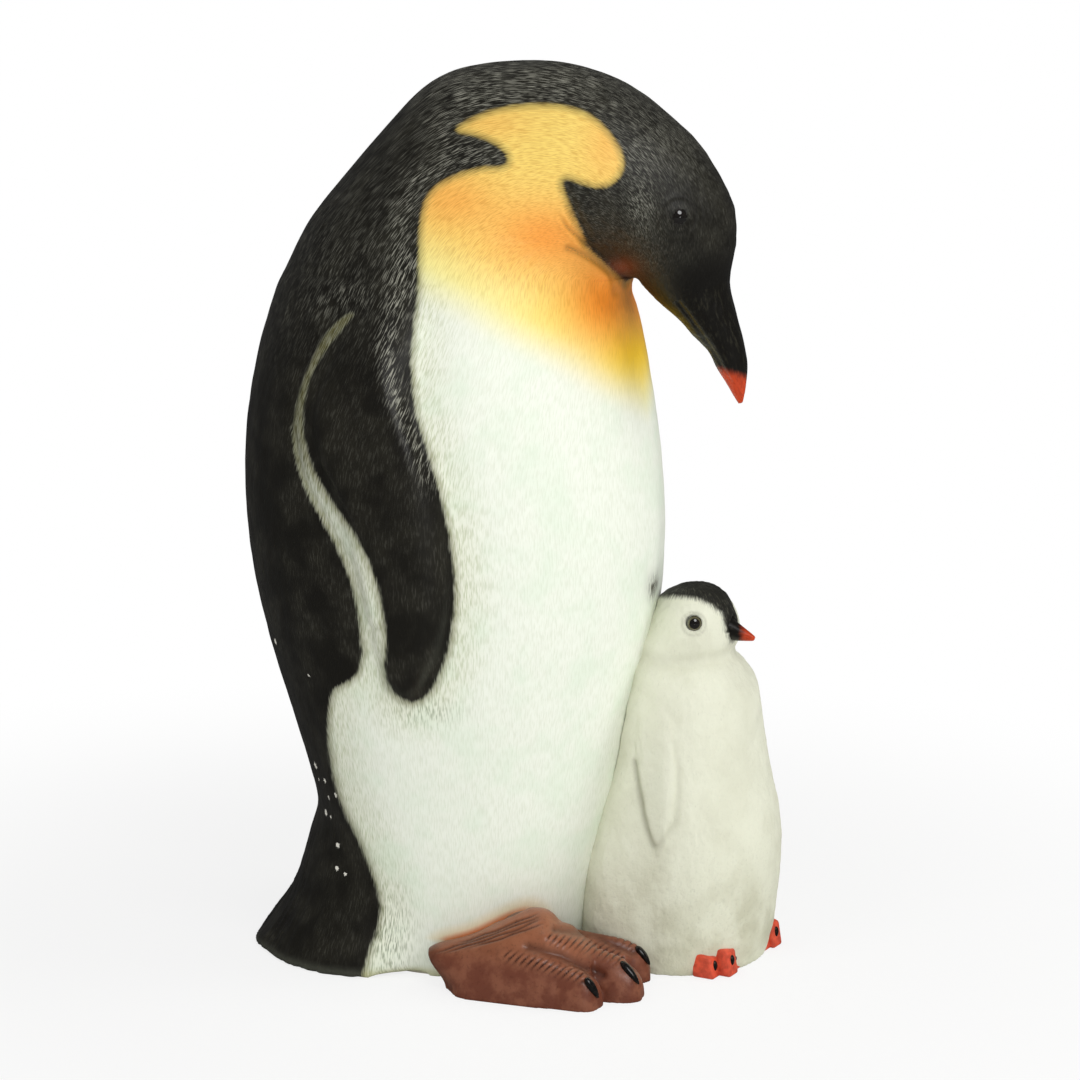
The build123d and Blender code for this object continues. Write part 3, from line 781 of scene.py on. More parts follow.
def foot_material(colours):
    """Terracotta paint with a dark wash left in the wrinkles, rubbed lighter on the scales, and painted light on
    the tops of the feet.
    """
    material, tree, shader = new_material("painted_foot")
    place = object_place(tree)
    patch = grain(place, 0.009, 0.009, 3.0)
    skin = grain(place, 0.0016, 0.0016, 3.0)
    height = add(tree, "SeparateXYZ", {0: place}, "Z")
    base = paint(fade(patch, 0.40, 0.66), colours.foot, "#84503A")
    base = layered(base, [
        # Painted light: the tops of the feet are lighter
        (fade(height, 0.016, 0.034) * 0.55, "#A86A48"),
        (kept(tree, "scale") * 0.6, "#9A6044"),
        ((kept(tree, "groove") + fade(skin, 0.45, 0.30) * 0.25).capped(0.92), colours.foot_wash),
    ])
    finish_material(shader, base, skin * 0.25 + 0.22, skin, 0.00025, 0.5)
    return material


def claw_material(colours):
    """Glossy black enamel."""
    material, tree, shader = new_material("black_enamel")
    streak = grain(object_place(tree), 0.002, 0.002)
    base = paint(fade(streak, 0.5, 0.75), colours.claw, "#2A221C")
    finish_material(shader, base, streak * 0.15 + 0.12)
    return material


def eye_material(name, apexes, pupil):
    """Polished black glass, with an olive iris round the pupil where the apexes of the eyes are given."""
    material, tree, shader = new_material(name)
    place = object_place(tree)
    base = paint(grain(place, 0.003, 0.003), "#050505", "#16100B")
    gaps = [add(tree, "VectorMath", {0: place, 1: spot}, "Value", operation="DISTANCE") for spot in apexes]
    if gaps:
        gap = gaps[0].capped(gaps[-1])
        iris = paint(fade(gap, pupil * 1.2, pupil * 1.5), "#5C5840", "#1A1812")
        base = paint(fade(gap, pupil * 0.92, pupil * 1.06), base, iris)
    finish_material(shader, base, 0.06)
    shader.inputs["IOR"].default_value = 1.52
    shader.inputs["Coat Weight"].default_value = 1.0
    shader.inputs["Coat Roughness"].default_value = 0.03
    return material


def down_material(colours):
    """Matt down: short ragged strokes, grey mottling towards the ground and a dry-brushed black cap."""
    material, tree, shader = new_material("painted_down")
    place = object_place(tree)
    fuzz = grain(kept(tree, "flow", "Vector"), 0.0011, 0.0042)
    curl = grain(place, 0.0017, 0.0017, 2.0)
    cloud = grain(place, 0.026, 0.026, 3.0)
    low = kept(tree, "low")
    cap = kept(tree, "cap") + (fuzz - 0.5) * 0.006
    mottle = fade(cloud, 0.38, 0.72) * (low * 0.3 + 0.2) + low * 0.2
    base = paint(mottle, colours.chick, colours.chick_grey)
    base = layered(base, [
        (fade(curl, 0.46, 0.32) * (low * 0.07 + 0.04), "#7F7F6C"),
        (kept(tree, "shade"), "#8E8D78"),
        (fade(cap, -0.0016, 0.0024), paint(fade(fuzz, 0.54, 0.74), "#1F1E18", "#6B6A5C")),
    ])
    finish_material(shader, base, curl * 0.2 + 0.5, fuzz * 0.7 + curl, 0.0004, 0.6)
    return material


def plain_material(name, first, second, width, roughness, metal=0.0):
    """A bare material with a fine uneven tone, for the chick's feet and the pieces under the base and inside."""
    material, tree, shader = new_material(name)
    tone = grain(object_place(tree), width, width, 3.0)
    finish_material(shader, paint(fade(tone, 0.3, 0.7), first, second), tone * 0.2 + roughness, tone, 0.0001, 0.4)
    shader.inputs["Metallic"].default_value = metal
    return material


def settle(piece, material, nodes, body="figurine"):
    """Gives a piece its paint and its place on the part."""
    piece.data.materials.clear()
    piece.data.materials.append(material)
    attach(piece, body)
    if nodes:
        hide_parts(*nodes)


def add_piece(context, whole, name, material, nodes):
    """Turns a finished bmesh into a smooth piece on the part."""
    for face in whole.faces:
        face.smooth = True
    mesh = bpy.data.meshes.new(name)
    whole.to_mesh(mesh)
    whole.free()
    piece = bpy.data.objects.new(name, mesh)
    context.scene.collection.objects.link(piece)
    settle(piece, material, nodes)


def adult_joins():
    """What the adult's skin is drawn round, with a pad that fills the corner between chin and chest."""
    guests = [("adult_head", "adult_body"), ("right_flipper", "adult_body"), ("left_flipper", "adult_body"),
              ("tail", "adult_body"), ("base_plate", "adult_body"), ("fill_plug", "base_plate"),
              ("adult_bill", "adult_head")]
    whole, joins = joined("adult_body", guests)
    pad = bmesh.ops.create_uvsphere(whole, u_segments=32, v_segments=20, radius=1.0)["verts"]
    middle = mid_point(THROAT_PAD)
    for vert in pad:
        vert.co = Vector((vert.co.x * 26, vert.co.y * 9, vert.co.z * 9) + middle) / 1000
    return whole, joins


def join_strength(guest, spot):
    """How far the joins of a piece are smoothed away: all but the flippers' lower edges and the base."""
    if guest in ("right_flipper", "left_flipper"):
        return min(max((spot.z - 320) / 40, 0.3), 1)
    if guest == "adult_head":
        return min(max((-spot.y - 20) / 40, 0), 1)
    return {"tail": 1.0, "adult_bill": 0.5}.get(guest, 0.0)


def even_weight(points):
    """Where the adult's skin has no detail of its own to lose: the back, the belly, the nape and the crown."""
    ahead = -points[:, 1] - THROAT_FORWARD
    above = points[:, 2] - NECK_SEAM
    reach = np.hypot(ahead, above)
    on_body = (above < 0) & (ahead < -above * CHIN_LEAN)
    bend = np.where(on_body, math.pi, np.arctan2(above, ahead))
    weight = smooth_step(bend, 0.9, 1.5) * smooth_step(reach, 55, 85) * smooth_step(points[:, 2], 110, 160)
    return weight * (1 - smooth_step(outline_depth(adult_spots(points), FLIPPER_ZONE), -20, 0))


def eye_reach(points):
    """How far each point lies from the axis of an adult's eye, the way there, and the way out of the head."""
    side = np.where(points[:, 0] < 0, -1.0, 1.0)[:, None] * np.array([1.0, 0.0, 0.0]) + np.array([0.0, 1.0, 1.0])
    out = np.array(EYE_OUT) * side
    away = points - np.array(ADULT_EYE) * side
    rise = (away * out).sum(axis=1)
    flat = away - rise[:, None] * out
    reach = np.where(np.abs(rise) < 8, np.linalg.norm(flat, axis=1), 50.0)
    return reach, flat / np.maximum(reach, 0.1)[:, None], out


def close_lids(points, sizes):
    """Draws the skin round the adult's eyes into lids; returns how far each point lies from an eye."""
    reach, flat, out = eye_reach(points)
    points -= flat * (LID_CLOSE * ridge(reach - LID_EDGE, 1.6))[:, None]
    swell = ridge(reach - LID_EDGE, 1.8) + 0.25 * ridge(reach - LID_FOLD, 1.2)
    points += out * (sizes.eyelid_height * 1000 * swell)[:, None]
    return reach


def shape_adult(mesh, joins, sizes, spacing):
    """Smooths the joins of the adult and sculpts its creases, lids, flippers and feather relief."""
    points = points_of(mesh)
    finer = (sizes.body_grain / spacing) ** 2
    evened(mesh, even_weight(points), 13.0, spacing * 1000)
    relaxed(mesh, np.ones(len(points)), 6 * finer, 0.52)
    blend = join_weight(points, joins, 18.0, join_strength)
    relaxed(mesh, blend, 70 * finer)
    points = points_of(mesh)
    out = normals_of(mesh)
    spots = adult_spots(points)
    flow = feather_flow(folded(points, 1))
    upper = points[:, 2] > THROAT_LOW
    lift = np.zeros(len(points))

    gap, share = line_gap(spots, CHIN_CREASE)
    lift -= upper * sizes.crease_depth * 1000 * ridge(gap, 3.4) * smooth_step(share, 0.0, 0.25)
    gap, share = line_gap(spots, FOLD_LINE)
    lift += upper * (0.8 * ridge(gap - 2.8, 1.6) - 1.1 * ridge(gap, 1.5)) * smooth_step(share, 0.0, 0.4)
    lift -= upper * 0.9 * ridge(line_gap(spots, CHIN_SHADE_LINE)[0], 1.6)
    reach = close_lids(points, sizes)
    gap, share = line_gap(spots, STREAK_LINE)
    streak = 0.9 * ridge(gap, 3.0) - 1.3 * ridge(gap - 5.5, 2.0)
    lift += streak * smooth_step(share, 0.0, 0.2) * (points[:, 2] > STREAK_LOW)
    gap, share = line_gap(spots, FLIPPER_RIDGE)
    edge = smooth_step(share, 0.0, 0.2) * (1 - smooth_step(share, 0.7, 1.0))
    lift += sizes.flipper_ridge * 1000 * ridge(gap, 7.0) * edge
    lift += pools(spots, ADULT_SWELLS)

    calm = smooth_step(reach, 7.0, 12.0)
    tufts = noise_field(flow / np.array([4.0, 14.0, 1.0]))
    lift += sizes.feather_depth * 1000 * tufts * calm
    tail = smooth_step(-points[:, 2], -95, -40) * smooth_step(points[:, 1], 55, 80)
    quills = noise_field(flow / np.array([5.0, 60.0, 1.0]) + np.array([0.0, 9.0, 0.0]))
    lift += tail * (0.35 - np.abs(quills)) * 2.0 * smooth_step(points[:, 2], 1, 9)
    points += out * lift[:, None]
    points[:, 2] = np.maximum(points[:, 2], 0.05)
    return points


def foot_gap(points):
    """How far points lie from the nearer foot, in millimetres."""
    gaps = np.full(len(points), 99.0)
    for name in ("right_foot", "left_foot"):
        foot = node_copy(name)
        wall = BVHTree.FromBMesh(foot)
        foot.free()
        for index in np.flatnonzero(points[:, 2] < 75):
            found = wall.find_nearest(Vector(points[index]) / 1000, 0.02)
            if found[3] is not None:
                gaps[index] = min(gaps[index], found[3] * 1000)
    return gaps


def paint_adult(mesh):
    """Keeps on the adult's skin where each paint goes."""
    points = points_of(mesh)
    spots = adult_spots(points)
    across, down = spots[:, 0], spots[:, 1]
    streak = outline_depth(spots, rounded(FLIPPER_STREAK))
    coat = np.maximum(outline_depth(spots, rounded(PALE_FRONT)), streak)
    store(mesh, "coat", np.clip(coat, -40, 40) / 1000)
    white_from = 300 + (np.clip(across, 400, 650) - 430) * 0.53
    store(mesh, "warm", 1 - np.clip((down - white_from + 110) / 125, 0, 1))
    store(mesh, "orange", np.clip(pools(spots, ORANGE_POOLS), 0, 0.95))
    store(mesh, "deep", pools(spots, DEEP_YELLOW_POOLS))
    shades = np.interp(down, *np.array(STREAK_SHADES).T)
    store(mesh, "olive", shades * smooth_step(streak, -2.0, 1.0))
    store(mesh, "blush", (foot_gap(points) + 20 * (1 - smooth_step(points[:, 2], 14, 24))) / 1000)
    # Dry-brushed strokes on the cheek and along the black's edge at the shoulder, with painted sheen along the
    # flipper's front edge, on the crown and on the upper back, and painted highlights on the lids round the eye
    gap, share = line_gap(spots, FLIPPER_SHEEN)
    brush_and_sheen = 0.75 * ridge(gap, 5.5) * (1 - smooth_step(share, 0.8, 1.0))
    brush_and_sheen += pools(spots, BRUSH_AND_SHEEN_POOLS) + 0.2 * ridge(eye_reach(points)[0] - 6.5, 0.9)
    brush_and_sheen += 0.55 * ridge(coat + 8, 8.0) * (1 - smooth_step(down, 270, 330)) * smooth_step(-across, -600, -480)
    brush_and_sheen += 0.2 * (1 - smooth_step(down, 240, 420)) * (1 - 0.7 * smooth_step(across, 630, 680))
    store(mesh, "brush_and_sheen", np.clip(brush_and_sheen, 0, 1))
    root = np.array([BILL_CROWN[0] - BILL_CHIN[0], BILL_CROWN[1] - BILL_CHIN[1]])
    past = (-points[:, 1] - BILL_CHIN[0]) * root[1] - (points[:, 2] - BILL_CHIN[1]) * root[0]
    past /= np.linalg.norm(root)
    store(mesh, "sleek", smooth_step(past, -26, -3) * (-points[:, 1] > 105))
    store(mesh, "rust", pools(spots, RUST_POOLS))
    upper = points[:, 2] > THROAT_LOW
    # Painted shade in the fold and the groove under the chin, and the dark smudge on the belly
    gap, share = line_gap(spots, FOLD_LINE)
    fold = 0.7 * ridge(gap, 1.0) * smooth_step(share, 0.1, 0.6) * upper
    gap, share = line_gap(spots, CHIN_SHADE_LINE)
    crease_shade_and_smudge = np.maximum(fold, (0.7 - 0.35 * share) * ridge(gap, 2.0) * upper)
    store(mesh, "crease_shade_and_smudge", np.maximum(crease_shade_and_smudge, pools(spots, BELLY_SMUDGE) * (points[:, 2] < BELLY_TOP)))
    store(mesh, "dark_strokes_and_shade", np.clip(pools(spots, DARK_STROKE_AND_SHADE_POOLS), 0, 1))
    store(mesh, "rim", 1 - smooth_step(points[:, 2], 2.0, 7.0))
    chip = np.full(len(points), 20.0)
    near = np.flatnonzero((points[:, 0] < 0) & (points[:, 2] < 250))
    for right, low, size in TAIL_CHIPS if len(near) else []:
        middle = points[near[np.argmin(np.hypot(across[near] - right, down[near] - low))]]
        chip = np.minimum(chip, np.linalg.norm(points - middle, axis=1) - size * 1.4)
    store(mesh, "chip", chip / 1000)
    store(mesh, "flow", feather_flow(points) / 1000)


def below_seam(middle):
    """Whether a face of the adult's skin lies on the body; None near the seam."""
    if abs(middle.z - NECK_SEAM) < 8 and -middle.y < THROAT_FORWARD + 3:
        return None
    return middle.z < NECK_SEAM and -middle.y < THROAT_FORWARD + (NECK_SEAM - middle.z) * CHIN_LEAN


def above_seam(middle):
    """Whether a face of the adult's skin lies on the head; None near the seam."""
    side = below_seam(middle)
    return None if side is None else not side


def near_bill(middle):
    """Whether a face of the adult's skin lies by the root of the bill or on the bill."""
    ahead = -middle.y
    return ahead > max(105, THROAT_FORWARD + (NECK_SEAM - middle.z) * CHIN_LEAN) and middle.z < 400


class PENGUIN_OT_body(bpy.types.Operator):
    """Build the adult's body with its flippers and tail as one painted skin"""
    bl_idname = "penguin.body"
    bl_label = "Adult body"

    def execute(self, context):
        sizes, colours = context.scene.penguin_sizes, context.scene.penguin_colours
        rough, joins = adult_joins()
        piece = remeshed(rough, "adult_body_skin", sizes.body_grain)
        mesh = piece.data
        points = shape_adult(mesh, joins, sizes, sizes.body_grain)
        hollow = np.hypot(points[:, 0] / 68, (points[:, 1] - 4.5) / 70) < 1
        points[:, 2] = np.where(hollow & (points[:, 2] < 2.0), 3.0, points[:, 2])
        set_points(mesh, points)
        cut(mesh, (0, 0, NECK_SEAM), (0, 0, 1), below_seam)
        paint_adult(mesh)
        settle(piece, plumage_material(colours, sizes),
               ["adult_body", "right_flipper", "left_flipper", "tail"])
        return {"FINISHED"}


class PENGUIN_OT_head(bpy.types.Operator):
    """Build the adult's head and its bill"""
    bl_idname = "penguin.head"
    bl_label = "Adult head and bill"

    def execute(self, context):
        sizes, colours = context.scene.penguin_sizes, context.scene.penguin_colours
        rough, joins = adult_joins()
        head = remeshed(rough, "adult_head_skin", sizes.head_grain)
        mesh = head.data
        cut(mesh, (0, 0, HEAD_FLOOR), (0, 0, -1), lambda middle: middle.z > HEAD_FLOOR)
        set_points(mesh, shape_adult(mesh, joins, sizes, sizes.head_grain))
        bill = head.copy()
        bill.data = mesh.copy()
        bill.name = bill.data.name = "adult_bill_skin"
        context.scene.collection.objects.link(bill)
        cut(mesh, (0, 0, NECK_SEAM - 0.6), (0, 0, -1), above_seam)
        root = (0, -BILL_CHIN[0], BILL_CHIN[1])
        out = (0, -(BILL_CROWN[1] - BILL_CHIN[1]), -(BILL_CROWN[0] - BILL_CHIN[0]))
        cut(mesh, root, out, lambda middle: None if near_bill(middle) else True)
        cut(bill.data, root, [-part for part in out], lambda middle: None if near_bill(middle) else False)
        paint_adult(mesh)
        settle(head, plumage_material(colours, sizes), ["adult_head"])
        self.shape_bill(bill.data)
        settle(bill, bill_material(colours), ["adult_bill"])
        return {"FINISHED"}

    def shape_bill(self, mesh):
        """Cuts the gape into the bill and keeps where its red tip starts."""
        points = points_of(mesh)
        spots = adult_spots(points)
        dig = 0.7 * ridge(line_gap(spots, GAPE_LINE)[0], 1.1) + 0.5 * ridge(line_gap(spots, NOSTRIL_LINE)[0], 0.9)
        points -= normals_of(mesh) * dig[:, None]
        start, end = mid_point(BILL_AXIS[0]), mid_point(BILL_AXIS[1])
        way = end - start
        ahead = way / np.linalg.norm(way)
        flow = np.stack([points[:, 0], points @ ahead, points @ np.cross(ahead, (1, 0, 0))], axis=1)
        store(mesh, "flow", flow / 1000)
        along = np.clip((points - start) @ way / (way @ way), 0, 1)
        axis = start + along[:, None] * way
        sharp = 1 - 0.4 * smooth_step(along, 0.3, 1.0)
        points = np.where((along > 0)[:, None], axis + (points - axis) * sharp[:, None], points)
        set_points(mesh, points)
        store(mesh, "tip", np.clip(outline_depth(spots, RED_TIP), -30, 30) / 1000)


class PENGUIN_OT_feet(bpy.types.Operator):
    """Build the adult's feet and their claws"""
    bl_idname = "penguin.feet"
    bl_label = "Adult feet"

    def execute(self, context):
        sizes, colours = context.scene.penguin_sizes, context.scene.penguin_colours
        material = foot_material(colours)
        enamel = claw_material(colours)
        for name in ("right_foot", "left_foot"):
            piece = remeshed(node_copy(name), name + "_skin", sizes.foot_grain)
            self.shape(piece.data, name == "left_foot")
            settle(piece, material, [name])
            self.claws(context, name, enamel)
        return {"FINISHED"}

    def shape(self, mesh, left):
        """Sculpts heel, toes, webs, scales and ankle wrinkles."""
        relaxed(mesh, np.ones(len(mesh.vertices)), 12, 0.52)
        as_right = right_foot_points(points_of(mesh), left)
        heel = smooth_step(as_right[:, 1], -42, -12) * (1 - smooth_step(as_right[:, 2], 0, 22))
        as_right[:, 1] -= 9 * heel
        as_right[:, 0] -= (as_right[:, 0] + FOOT_PIVOT[0]) * 0.25 * heel
        points = own_foot_points(as_right, left)
        set_points(mesh, points)
        spots = photo_spots(as_right)
        out = normals_of(mesh)
        top = smooth_step(out[:, 2], -0.2, 0.3)
        lift = np.zeros(len(points))
        groove = np.zeros(len(points))
        scale = np.zeros(len(points))
        for line in WEB_LINES:
            web = ridge(line_gap(spots, line)[0], 2.8) * top
            lift -= 1.8 * web
            groove = np.maximum(groove, 0.5 * web)
        for line in TOE_LINES:
            gap, share = line_gap(spots, line)
            toe = ridge(gap, 3.6) * top
            below = np.sign(spots[:, 1] - np.interp(spots[:, 0], *np.array(line).T)) * gap
            reached = share * line_length(line) + 0.6 * below
            beat = (0.5 - 0.5 * np.cos(reached * 2 * math.pi / SCUTE)) ** 5
            mark = toe * beat * smooth_step(share, 0.0, 0.05)
            lift += 1.4 * toe - 1.0 * mark
            groove = np.maximum(groove * (1 - 0.8 * toe), mark)
            scale = np.maximum(scale, toe * (1 - beat))
        gap, share = line_gap(spots, FOOT_TOP)
        reached = share * line_length(FOOT_TOP)
        for step, (below, start) in enumerate(WRINKLES):
            row = np.full(len(points), step * 3.7)
            wave = 0.8 * noise_field(np.stack([reached / 12, row, np.zeros(len(points))], axis=1))
            drop = below * (0.55 + 0.45 * share)
            mark = ridge(gap - drop - wave, 0.55) * (points[:, 2] > 12)
            mark *= smooth_step(share, start, start + 0.2) * (1 - smooth_step(share, 0.9, 1.0))
            lift -= 0.75 * mark
            groove = np.maximum(groove, 0.75 * mark)
        groove = np.maximum(groove, 0.45 * smooth_step(as_right[:, 1], -30, -12))
        lift += pools(spots, FOOT_SWELLS)
        points += out * lift[:, None]
        points[:, 2] = np.maximum(points[:, 2], 0.05)
        set_points(mesh, points)
        store(mesh, "groove", groove)
        store(mesh, "scale", np.maximum(scale, 0.7 * ridge(gap, 4.0)))

    def claws(self, context, name, enamel):
        """Adds the three claws of a foot, half sunk into its toes."""
        whole = bmesh.new()
        for middle, out, ahead, size in CLAWS:
            out = np.array(out) / np.linalg.norm(out)
            ahead = np.array(ahead) - np.dot(ahead, out) * out
            ahead /= np.linalg.norm(ahead)
            side = np.cross(ahead, out)
            claw = bmesh.ops.create_uvsphere(whole, u_segments=24, v_segments=16, radius=1.0)["verts"]
            ball = np.array([vert.co for vert in claw])
            slim = 1 - 0.32 * ball[:, 1]
            points = np.array(middle) + np.outer(ball[:, 1] * size, ahead)
            points += np.outer(ball[:, 0] * slim * 2.3, side)
            points += np.outer(ball[:, 2] * slim * 1.9 + 0.4 - 0.9 * np.maximum(ball[:, 1], 0) ** 2, out)
            points = own_foot_points(points, name == "left_foot")
            for vert, point in zip(claw, points):
                vert.co = Vector(point) / 1000
        bmesh.ops.recalc_face_normals(whole, faces=whole.faces)
        add_piece(context, whole, name + "_claws", enamel, [])


class PENGUIN_OT_chick(bpy.types.Operator):
    """Build the chick's down, bill and feet"""
    bl_idname = "penguin.chick"
    bl_label = "Chick"

    def execute(self, context):
        sizes, colours = context.scene.penguin_sizes, context.scene.penguin_colours
        guests = [("chick_right_flipper", "chick_body"), ("chick_left_flipper", "chick_body"),
                  ("chick_base_plate", "chick_body")]
        rough, joins = joined("chick_body", guests)
        piece = remeshed(rough, "chick_skin", sizes.chick_grain)
        self.shape(piece.data)
        settle(piece, down_material(colours),
               ["chick_body", "chick_right_flipper", "chick_left_flipper"])
        bill = remeshed(node_copy("chick_bill"), "chick_bill_skin", sizes.bill_grain)
        mesh = bill.data
        relaxed(mesh, np.ones(len(mesh.vertices)), 4)
        local = chick_local(points_of(mesh))
        middle = local.mean(axis=0)
        local[:, 0] = middle[0] + (local[:, 0] - middle[0]) * 1.15
        local[:, 2] = middle[2] + (local[:, 2] - middle[2]) * 1.25 - 1.6 * (1 - smooth_step(-local[:, 1], 26, 46))
        set_points(mesh, chick_world(local))
        spots = chick_spots(points_of(mesh))
        store(mesh, "tip", (spots[:, 0] - 742) * MM_PER_PIXEL / 1000)
        store(mesh, "flow", local / 1000)
        settle(bill, bill_material(colours), ["chick_bill"])
        red = plain_material("painted_chick_foot", colours.chick_foot, "#B8412A", 0.004, 0.35)
        enamel = claw_material(colours)
        for name in ("chick_right_foot", "chick_left_foot"):
            self.foot(context, name, red, enamel)
        return {"FINISHED"}

    def foot(self, context, name, red, enamel):
        """Cuts a foot of three blunt toes from the size of the CAD foot and adds its claws."""
        rough = node_copy(name)
        local = chick_local(np.array([vert.co for vert in rough.verts]) * 1000)
        rough.free()
        low, high = local.min(axis=0), local.max(axis=0)
        wide = (high[0] - low[0]) / 3
        outer = 0 if name == "chick_right_foot" else 2
        toes, claws = bmesh.new(), bmesh.new()
        for index in range(3):
            rank = abs(index - outer)
            front = low[1] + (6.5, 0.0, 2.5)[rank]
            tall = high[2] * (1.02, 1.3, 1.12)[rank]
            middle = low[0] + wide * (index + 0.5)
            toe = bmesh.ops.create_cube(toes, size=1.0)["verts"]
            for vert in toe:
                ahead = vert.co.y < 0
                above = vert.co.z > 0
                vert.co.x = middle + vert.co.x * wide * (1.22 if above else 1.35)
                vert.co.y = (front + (2.0 if above else 0.0)) if ahead else high[1]
                vert.co.z = (tall * (0.72 if ahead else 1.0)) if above else 0.1
            claw = bmesh.ops.create_uvsphere(claws, u_segments=20, v_segments=14, radius=1.0)["verts"]
            for vert in claw:
                vert.co = Vector((middle - 0.8 + vert.co.x * 2.0, front + 1.5 + vert.co.y * 1.5,
                                  tall * 0.46 + vert.co.z * 3.0))
        bmesh.ops.bevel(toes, geom=list(toes.edges), offset=1.5, segments=3, profile=0.5, affect="EDGES",
                        material=-1)
        for whole in (toes, claws):
            placed = chick_world(np.array([vert.co for vert in whole.verts]))
            for vert, point in zip(whole.verts, placed):
                vert.co = Vector(point) / 1000
            bmesh.ops.recalc_face_normals(whole, faces=whole.faces)
        add_piece(context, toes, name + "_skin", red, [name])
        add_piece(context, claws, name + "_claws", enamel, [])

    def shape(self, mesh):
        """Sculpts the chick's down and keeps where its paint goes."""
        relaxed(mesh, np.ones(len(mesh.vertices)), 10, 0.52)
        points = points_of(mesh)
        spots = chick_spots(points)
        local = chick_local(points)
        out = normals_of(mesh)
        lift = 0.35 * noise_field(local / np.array([2.6, 2.6, 4.2]))
        lift += 0.5 * noise_field(local / np.array([9.0, 9.0, 13.0]))
        gap = line_gap(spots, CHICK_FLIPPER_BACK)[0]
        front = line_gap(spots, CHICK_FLIPPER_FRONT)[0]
        lift -= 0.9 * ridge(gap, 1.4) + 0.7 * ridge(front, 1.8)
        neck = ridge(local[:, 2] - 173 - 3 * smooth_step(-local[:, 1], 0, 30), 4.0)
        lift -= 1.8 * neck
        behind = smooth_step(local[:, 1], -12, 14)
        lift += 6.5 * ridge(local[:, 2] - 176, 13.0) * behind
        low_back = smooth_step(local[:, 1], -8, 22) * (1 - smooth_step(local[:, 2], 25, 120))
        lift += 11.0 * low_back * (local[:, 2] > 4)
        lift += pools(spots, CHICK_SWELLS)
        points += out * lift[:, None]
        base = np.hypot(local[:, 0] / 44, local[:, 1] / 40) < 1
        points[:, 2] = np.where(base & (points[:, 2] < 2.0), 3.0, np.maximum(points[:, 2], 0.05))
        set_points(mesh, points)
        forehead = np.where((local[:, 1] < -20) & (local[:, 2] > 188), 9 - np.abs(local[:, 0]), -40)
        smudge = pools(spots, CHICK_SMUDGE) - 2.2
        cap = np.maximum(np.maximum(outline_depth(spots, rounded(CHICK_CAP)), forehead), smudge)
        store(mesh, "cap", np.clip(cap, -40, 40) / 1000)
        store(mesh, "low", 1 - smooth_step(points[:, 2], 20, 95))
        reach = np.linalg.norm(folded(local, 1) - np.array(CHICK_EYE), axis=1)
        shade = 0.5 * ridge(gap, 1.6) + 0.18 * ridge(front, 1.8) + 0.12 * neck
        shade += pools(spots, CHICK_WING_SHADE) + 0.35 * ridge(reach - 6.4, 0.7)
        store(mesh, "shade", np.clip(shade, 0, 1))
        turn = np.abs(np.arctan2(local[:, 0], local[:, 1])) * 45
        store(mesh, "flow", np.stack([turn, local[:, 2], np.zeros(len(points))], axis=1) / 1000)


class PENGUIN_OT_small(bpy.types.Operator):
    """Give the eyes and the pieces under the base their finish"""
    bl_idname = "penguin.small"
    bl_label = "Eyes and base"

    def execute(self, context):
        colours = context.scene.penguin_colours
        resin = plain_material("cast_resin", colours.resin, "#B7B19F", 0.004, 0.5)
        steel = plain_material("steel", colours.steel, "#8E9094", 0.001, 0.25, 1.0)
        rubber = plain_material("rubber", colours.rubber, "#333231", 0.002, 0.6)
        glass = eye_material("eye_glass", [], 0.0)
        apex = chick_local(np.array([CHICK_PUPIL]))
        sides = chick_world(np.concatenate([apex, apex * np.array([-1, 1, 1])])) / 1000
        chick_glass = eye_material("chick_eye_glass", sides.tolist(), 0.0031)
        finishes = {"base_plate": resin, "chick_base_plate": resin, "neck_sleeve": resin, "dowel_pins": steel,
                    "fill_plug": rubber, "adult_right_eye": glass,
                    "adult_left_eye": glass, "chick_right_eye": chick_glass, "chick_left_eye": chick_glass}
        for name, material in finishes.items():
            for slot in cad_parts[name].material_slots:
                slot.link = "OBJECT"
                slot.material = material
        return {"FINISHED"}


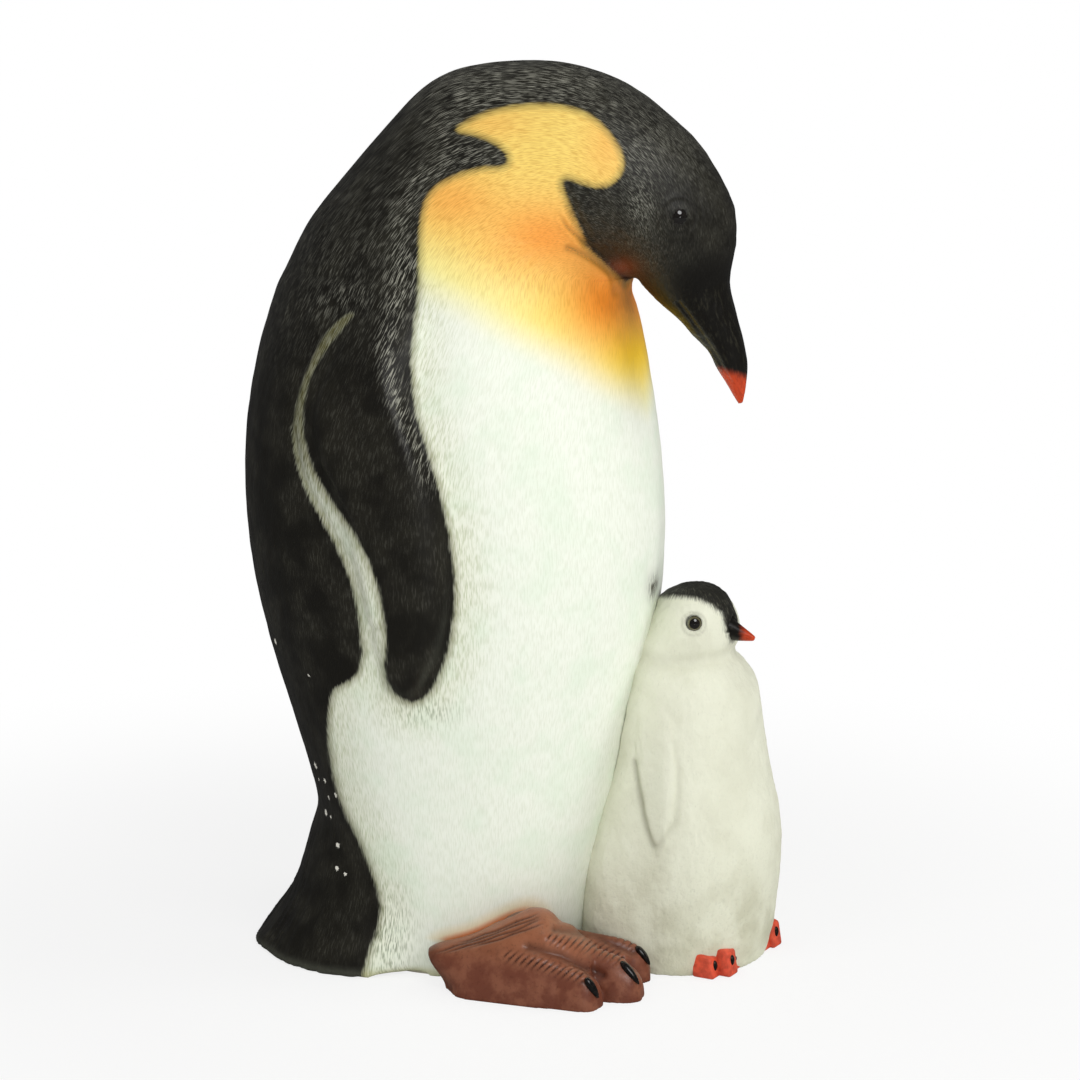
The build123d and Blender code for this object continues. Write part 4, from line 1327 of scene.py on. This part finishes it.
class PENGUIN_OT_stage(bpy.types.Operator):
    """Build the floor, the soft lights and the camera"""
    bl_idname = "penguin.stage"
    bl_label = "Stage"

    def execute(self, context):
        scene = context.scene
        self.floor(scene)
        self.world(scene)
        for name, spot, size, power in LAMPS:
            lamp = bpy.data.lights.new(name, "AREA")
            lamp.shape = "DISK"
            lamp.size = size
            lamp.energy = power
            light = bpy.data.objects.new(name, lamp)
            light.location = spot
            light.rotation_euler = (Vector(spot) - Vector(LAMP_AIM)).to_track_quat("Z", "Y").to_euler()
            light.visible_glossy = name == "key"
            scene.collection.objects.link(light)
        right, up, back, place = camera_axes()
        lens = bpy.data.cameras.new("photo_camera")
        lens.sensor_width = 36
        lens.lens = 36 * LOOK_FOCUS / PHOTO_SIZE
        camera = bpy.data.objects.new("photo_camera", lens)
        camera.location = Vector(place / 1000)
        camera.rotation_euler = Vector(back).to_track_quat("Z", "Y").to_euler()
        scene.collection.objects.link(camera)
        scene.camera = camera
        scene.view_settings.view_transform = "Standard"
        return {"FINISHED"}

    def floor(self, scene):
        """A pale floor that shows nearly white to the camera and keeps a soft shadow."""
        sheet = bmesh.new()
        bmesh.ops.create_circle(sheet, cap_ends=True, segments=96, radius=4.0)
        mesh = bpy.data.meshes.new("floor")
        sheet.to_mesh(mesh)
        sheet.free()
        floor = bpy.data.objects.new("floor", mesh)
        scene.collection.objects.link(floor)
        material, tree, shader = new_material("pale_floor")
        place = object_place(tree)
        base = paint(grain(place, 0.3, 0.3) * 0.04, scene.penguin_colours.floor, "#E4E4E0")
        base = paint(add(tree, "LightPath", (), "Is Glossy Ray") * 0.85, base, (0.02, 0.02, 0.02))
        finish_material(shader, base, 0.8)
        glow = add(tree, "Emission", {"Color": (1, 1, 1, 1), "Strength": 1.0})
        reach = add(tree, "VectorMath", {0: place}, "Value", operation="LENGTH")
        share = add(tree, "LightPath", (), "Is Camera Ray") * (fade(reach, 0.2, 0.7) * 0.2 + 0.8)
        mixed = add(tree, "MixShader", {0: share, 1: Tone(tree, shader.outputs[0]), 2: glow})
        join(mixed, tree.nodes["Material Output"].inputs["Surface"])
        mesh.materials.append(material)

    def world(self, scene):
        """White to the camera, softer as a light."""
        world = bpy.data.worlds.new("studio")
        world.use_nodes = True
        tree = world.node_tree
        strength = add(tree, "LightPath", (), "Is Camera Ray") * 0.6 + 0.4
        strength = strength - add(tree, "LightPath", (), "Is Glossy Ray") * 0.3
        background = tree.nodes["Background"]
        background.inputs["Color"].default_value = (1, 1, 1, 1)
        join(strength, background.inputs["Strength"])
        scene.world = world


class PENGUIN_PT_panel(bpy.types.Panel):
    """Lists the steps of the figurine"""
    bl_label = "Penguin Figurine"
    bl_idname = "PENGUIN_PT_panel"
    bl_space_type = "VIEW_3D"
    bl_region_type = "UI"
    bl_category = "Penguin"

    def draw(self, context):
        for step in STEPS:
            self.layout.operator(step.bl_idname)
        for group in (context.scene.penguin_sizes, context.scene.penguin_colours):
            box = self.layout.box()
            for name in group.__annotations__:
                box.prop(group, name)


STEPS = (PENGUIN_OT_body, PENGUIN_OT_head, PENGUIN_OT_feet, PENGUIN_OT_chick, PENGUIN_OT_small, PENGUIN_OT_stage)
CLASSES = (PenguinSizes, PenguinColours) + STEPS + (PENGUIN_PT_panel,)


def register():
    for item in CLASSES:
        bpy.utils.register_class(item)
    bpy.types.Scene.penguin_sizes = bpy.props.PointerProperty(type=PenguinSizes)
    bpy.types.Scene.penguin_colours = bpy.props.PointerProperty(type=PenguinColours)


def unregister():
    del bpy.types.Scene.penguin_colours
    del bpy.types.Scene.penguin_sizes
    for item in reversed(CLASSES):
        bpy.utils.unregister_class(item)


def main():
    register()
    bpy.ops.penguin.body()
    bpy.ops.penguin.head()
    bpy.ops.penguin.feet()
    bpy.ops.penguin.chick()
    bpy.ops.penguin.small()
    bpy.ops.penguin.stage()


if __name__ == "__main__":
    main()
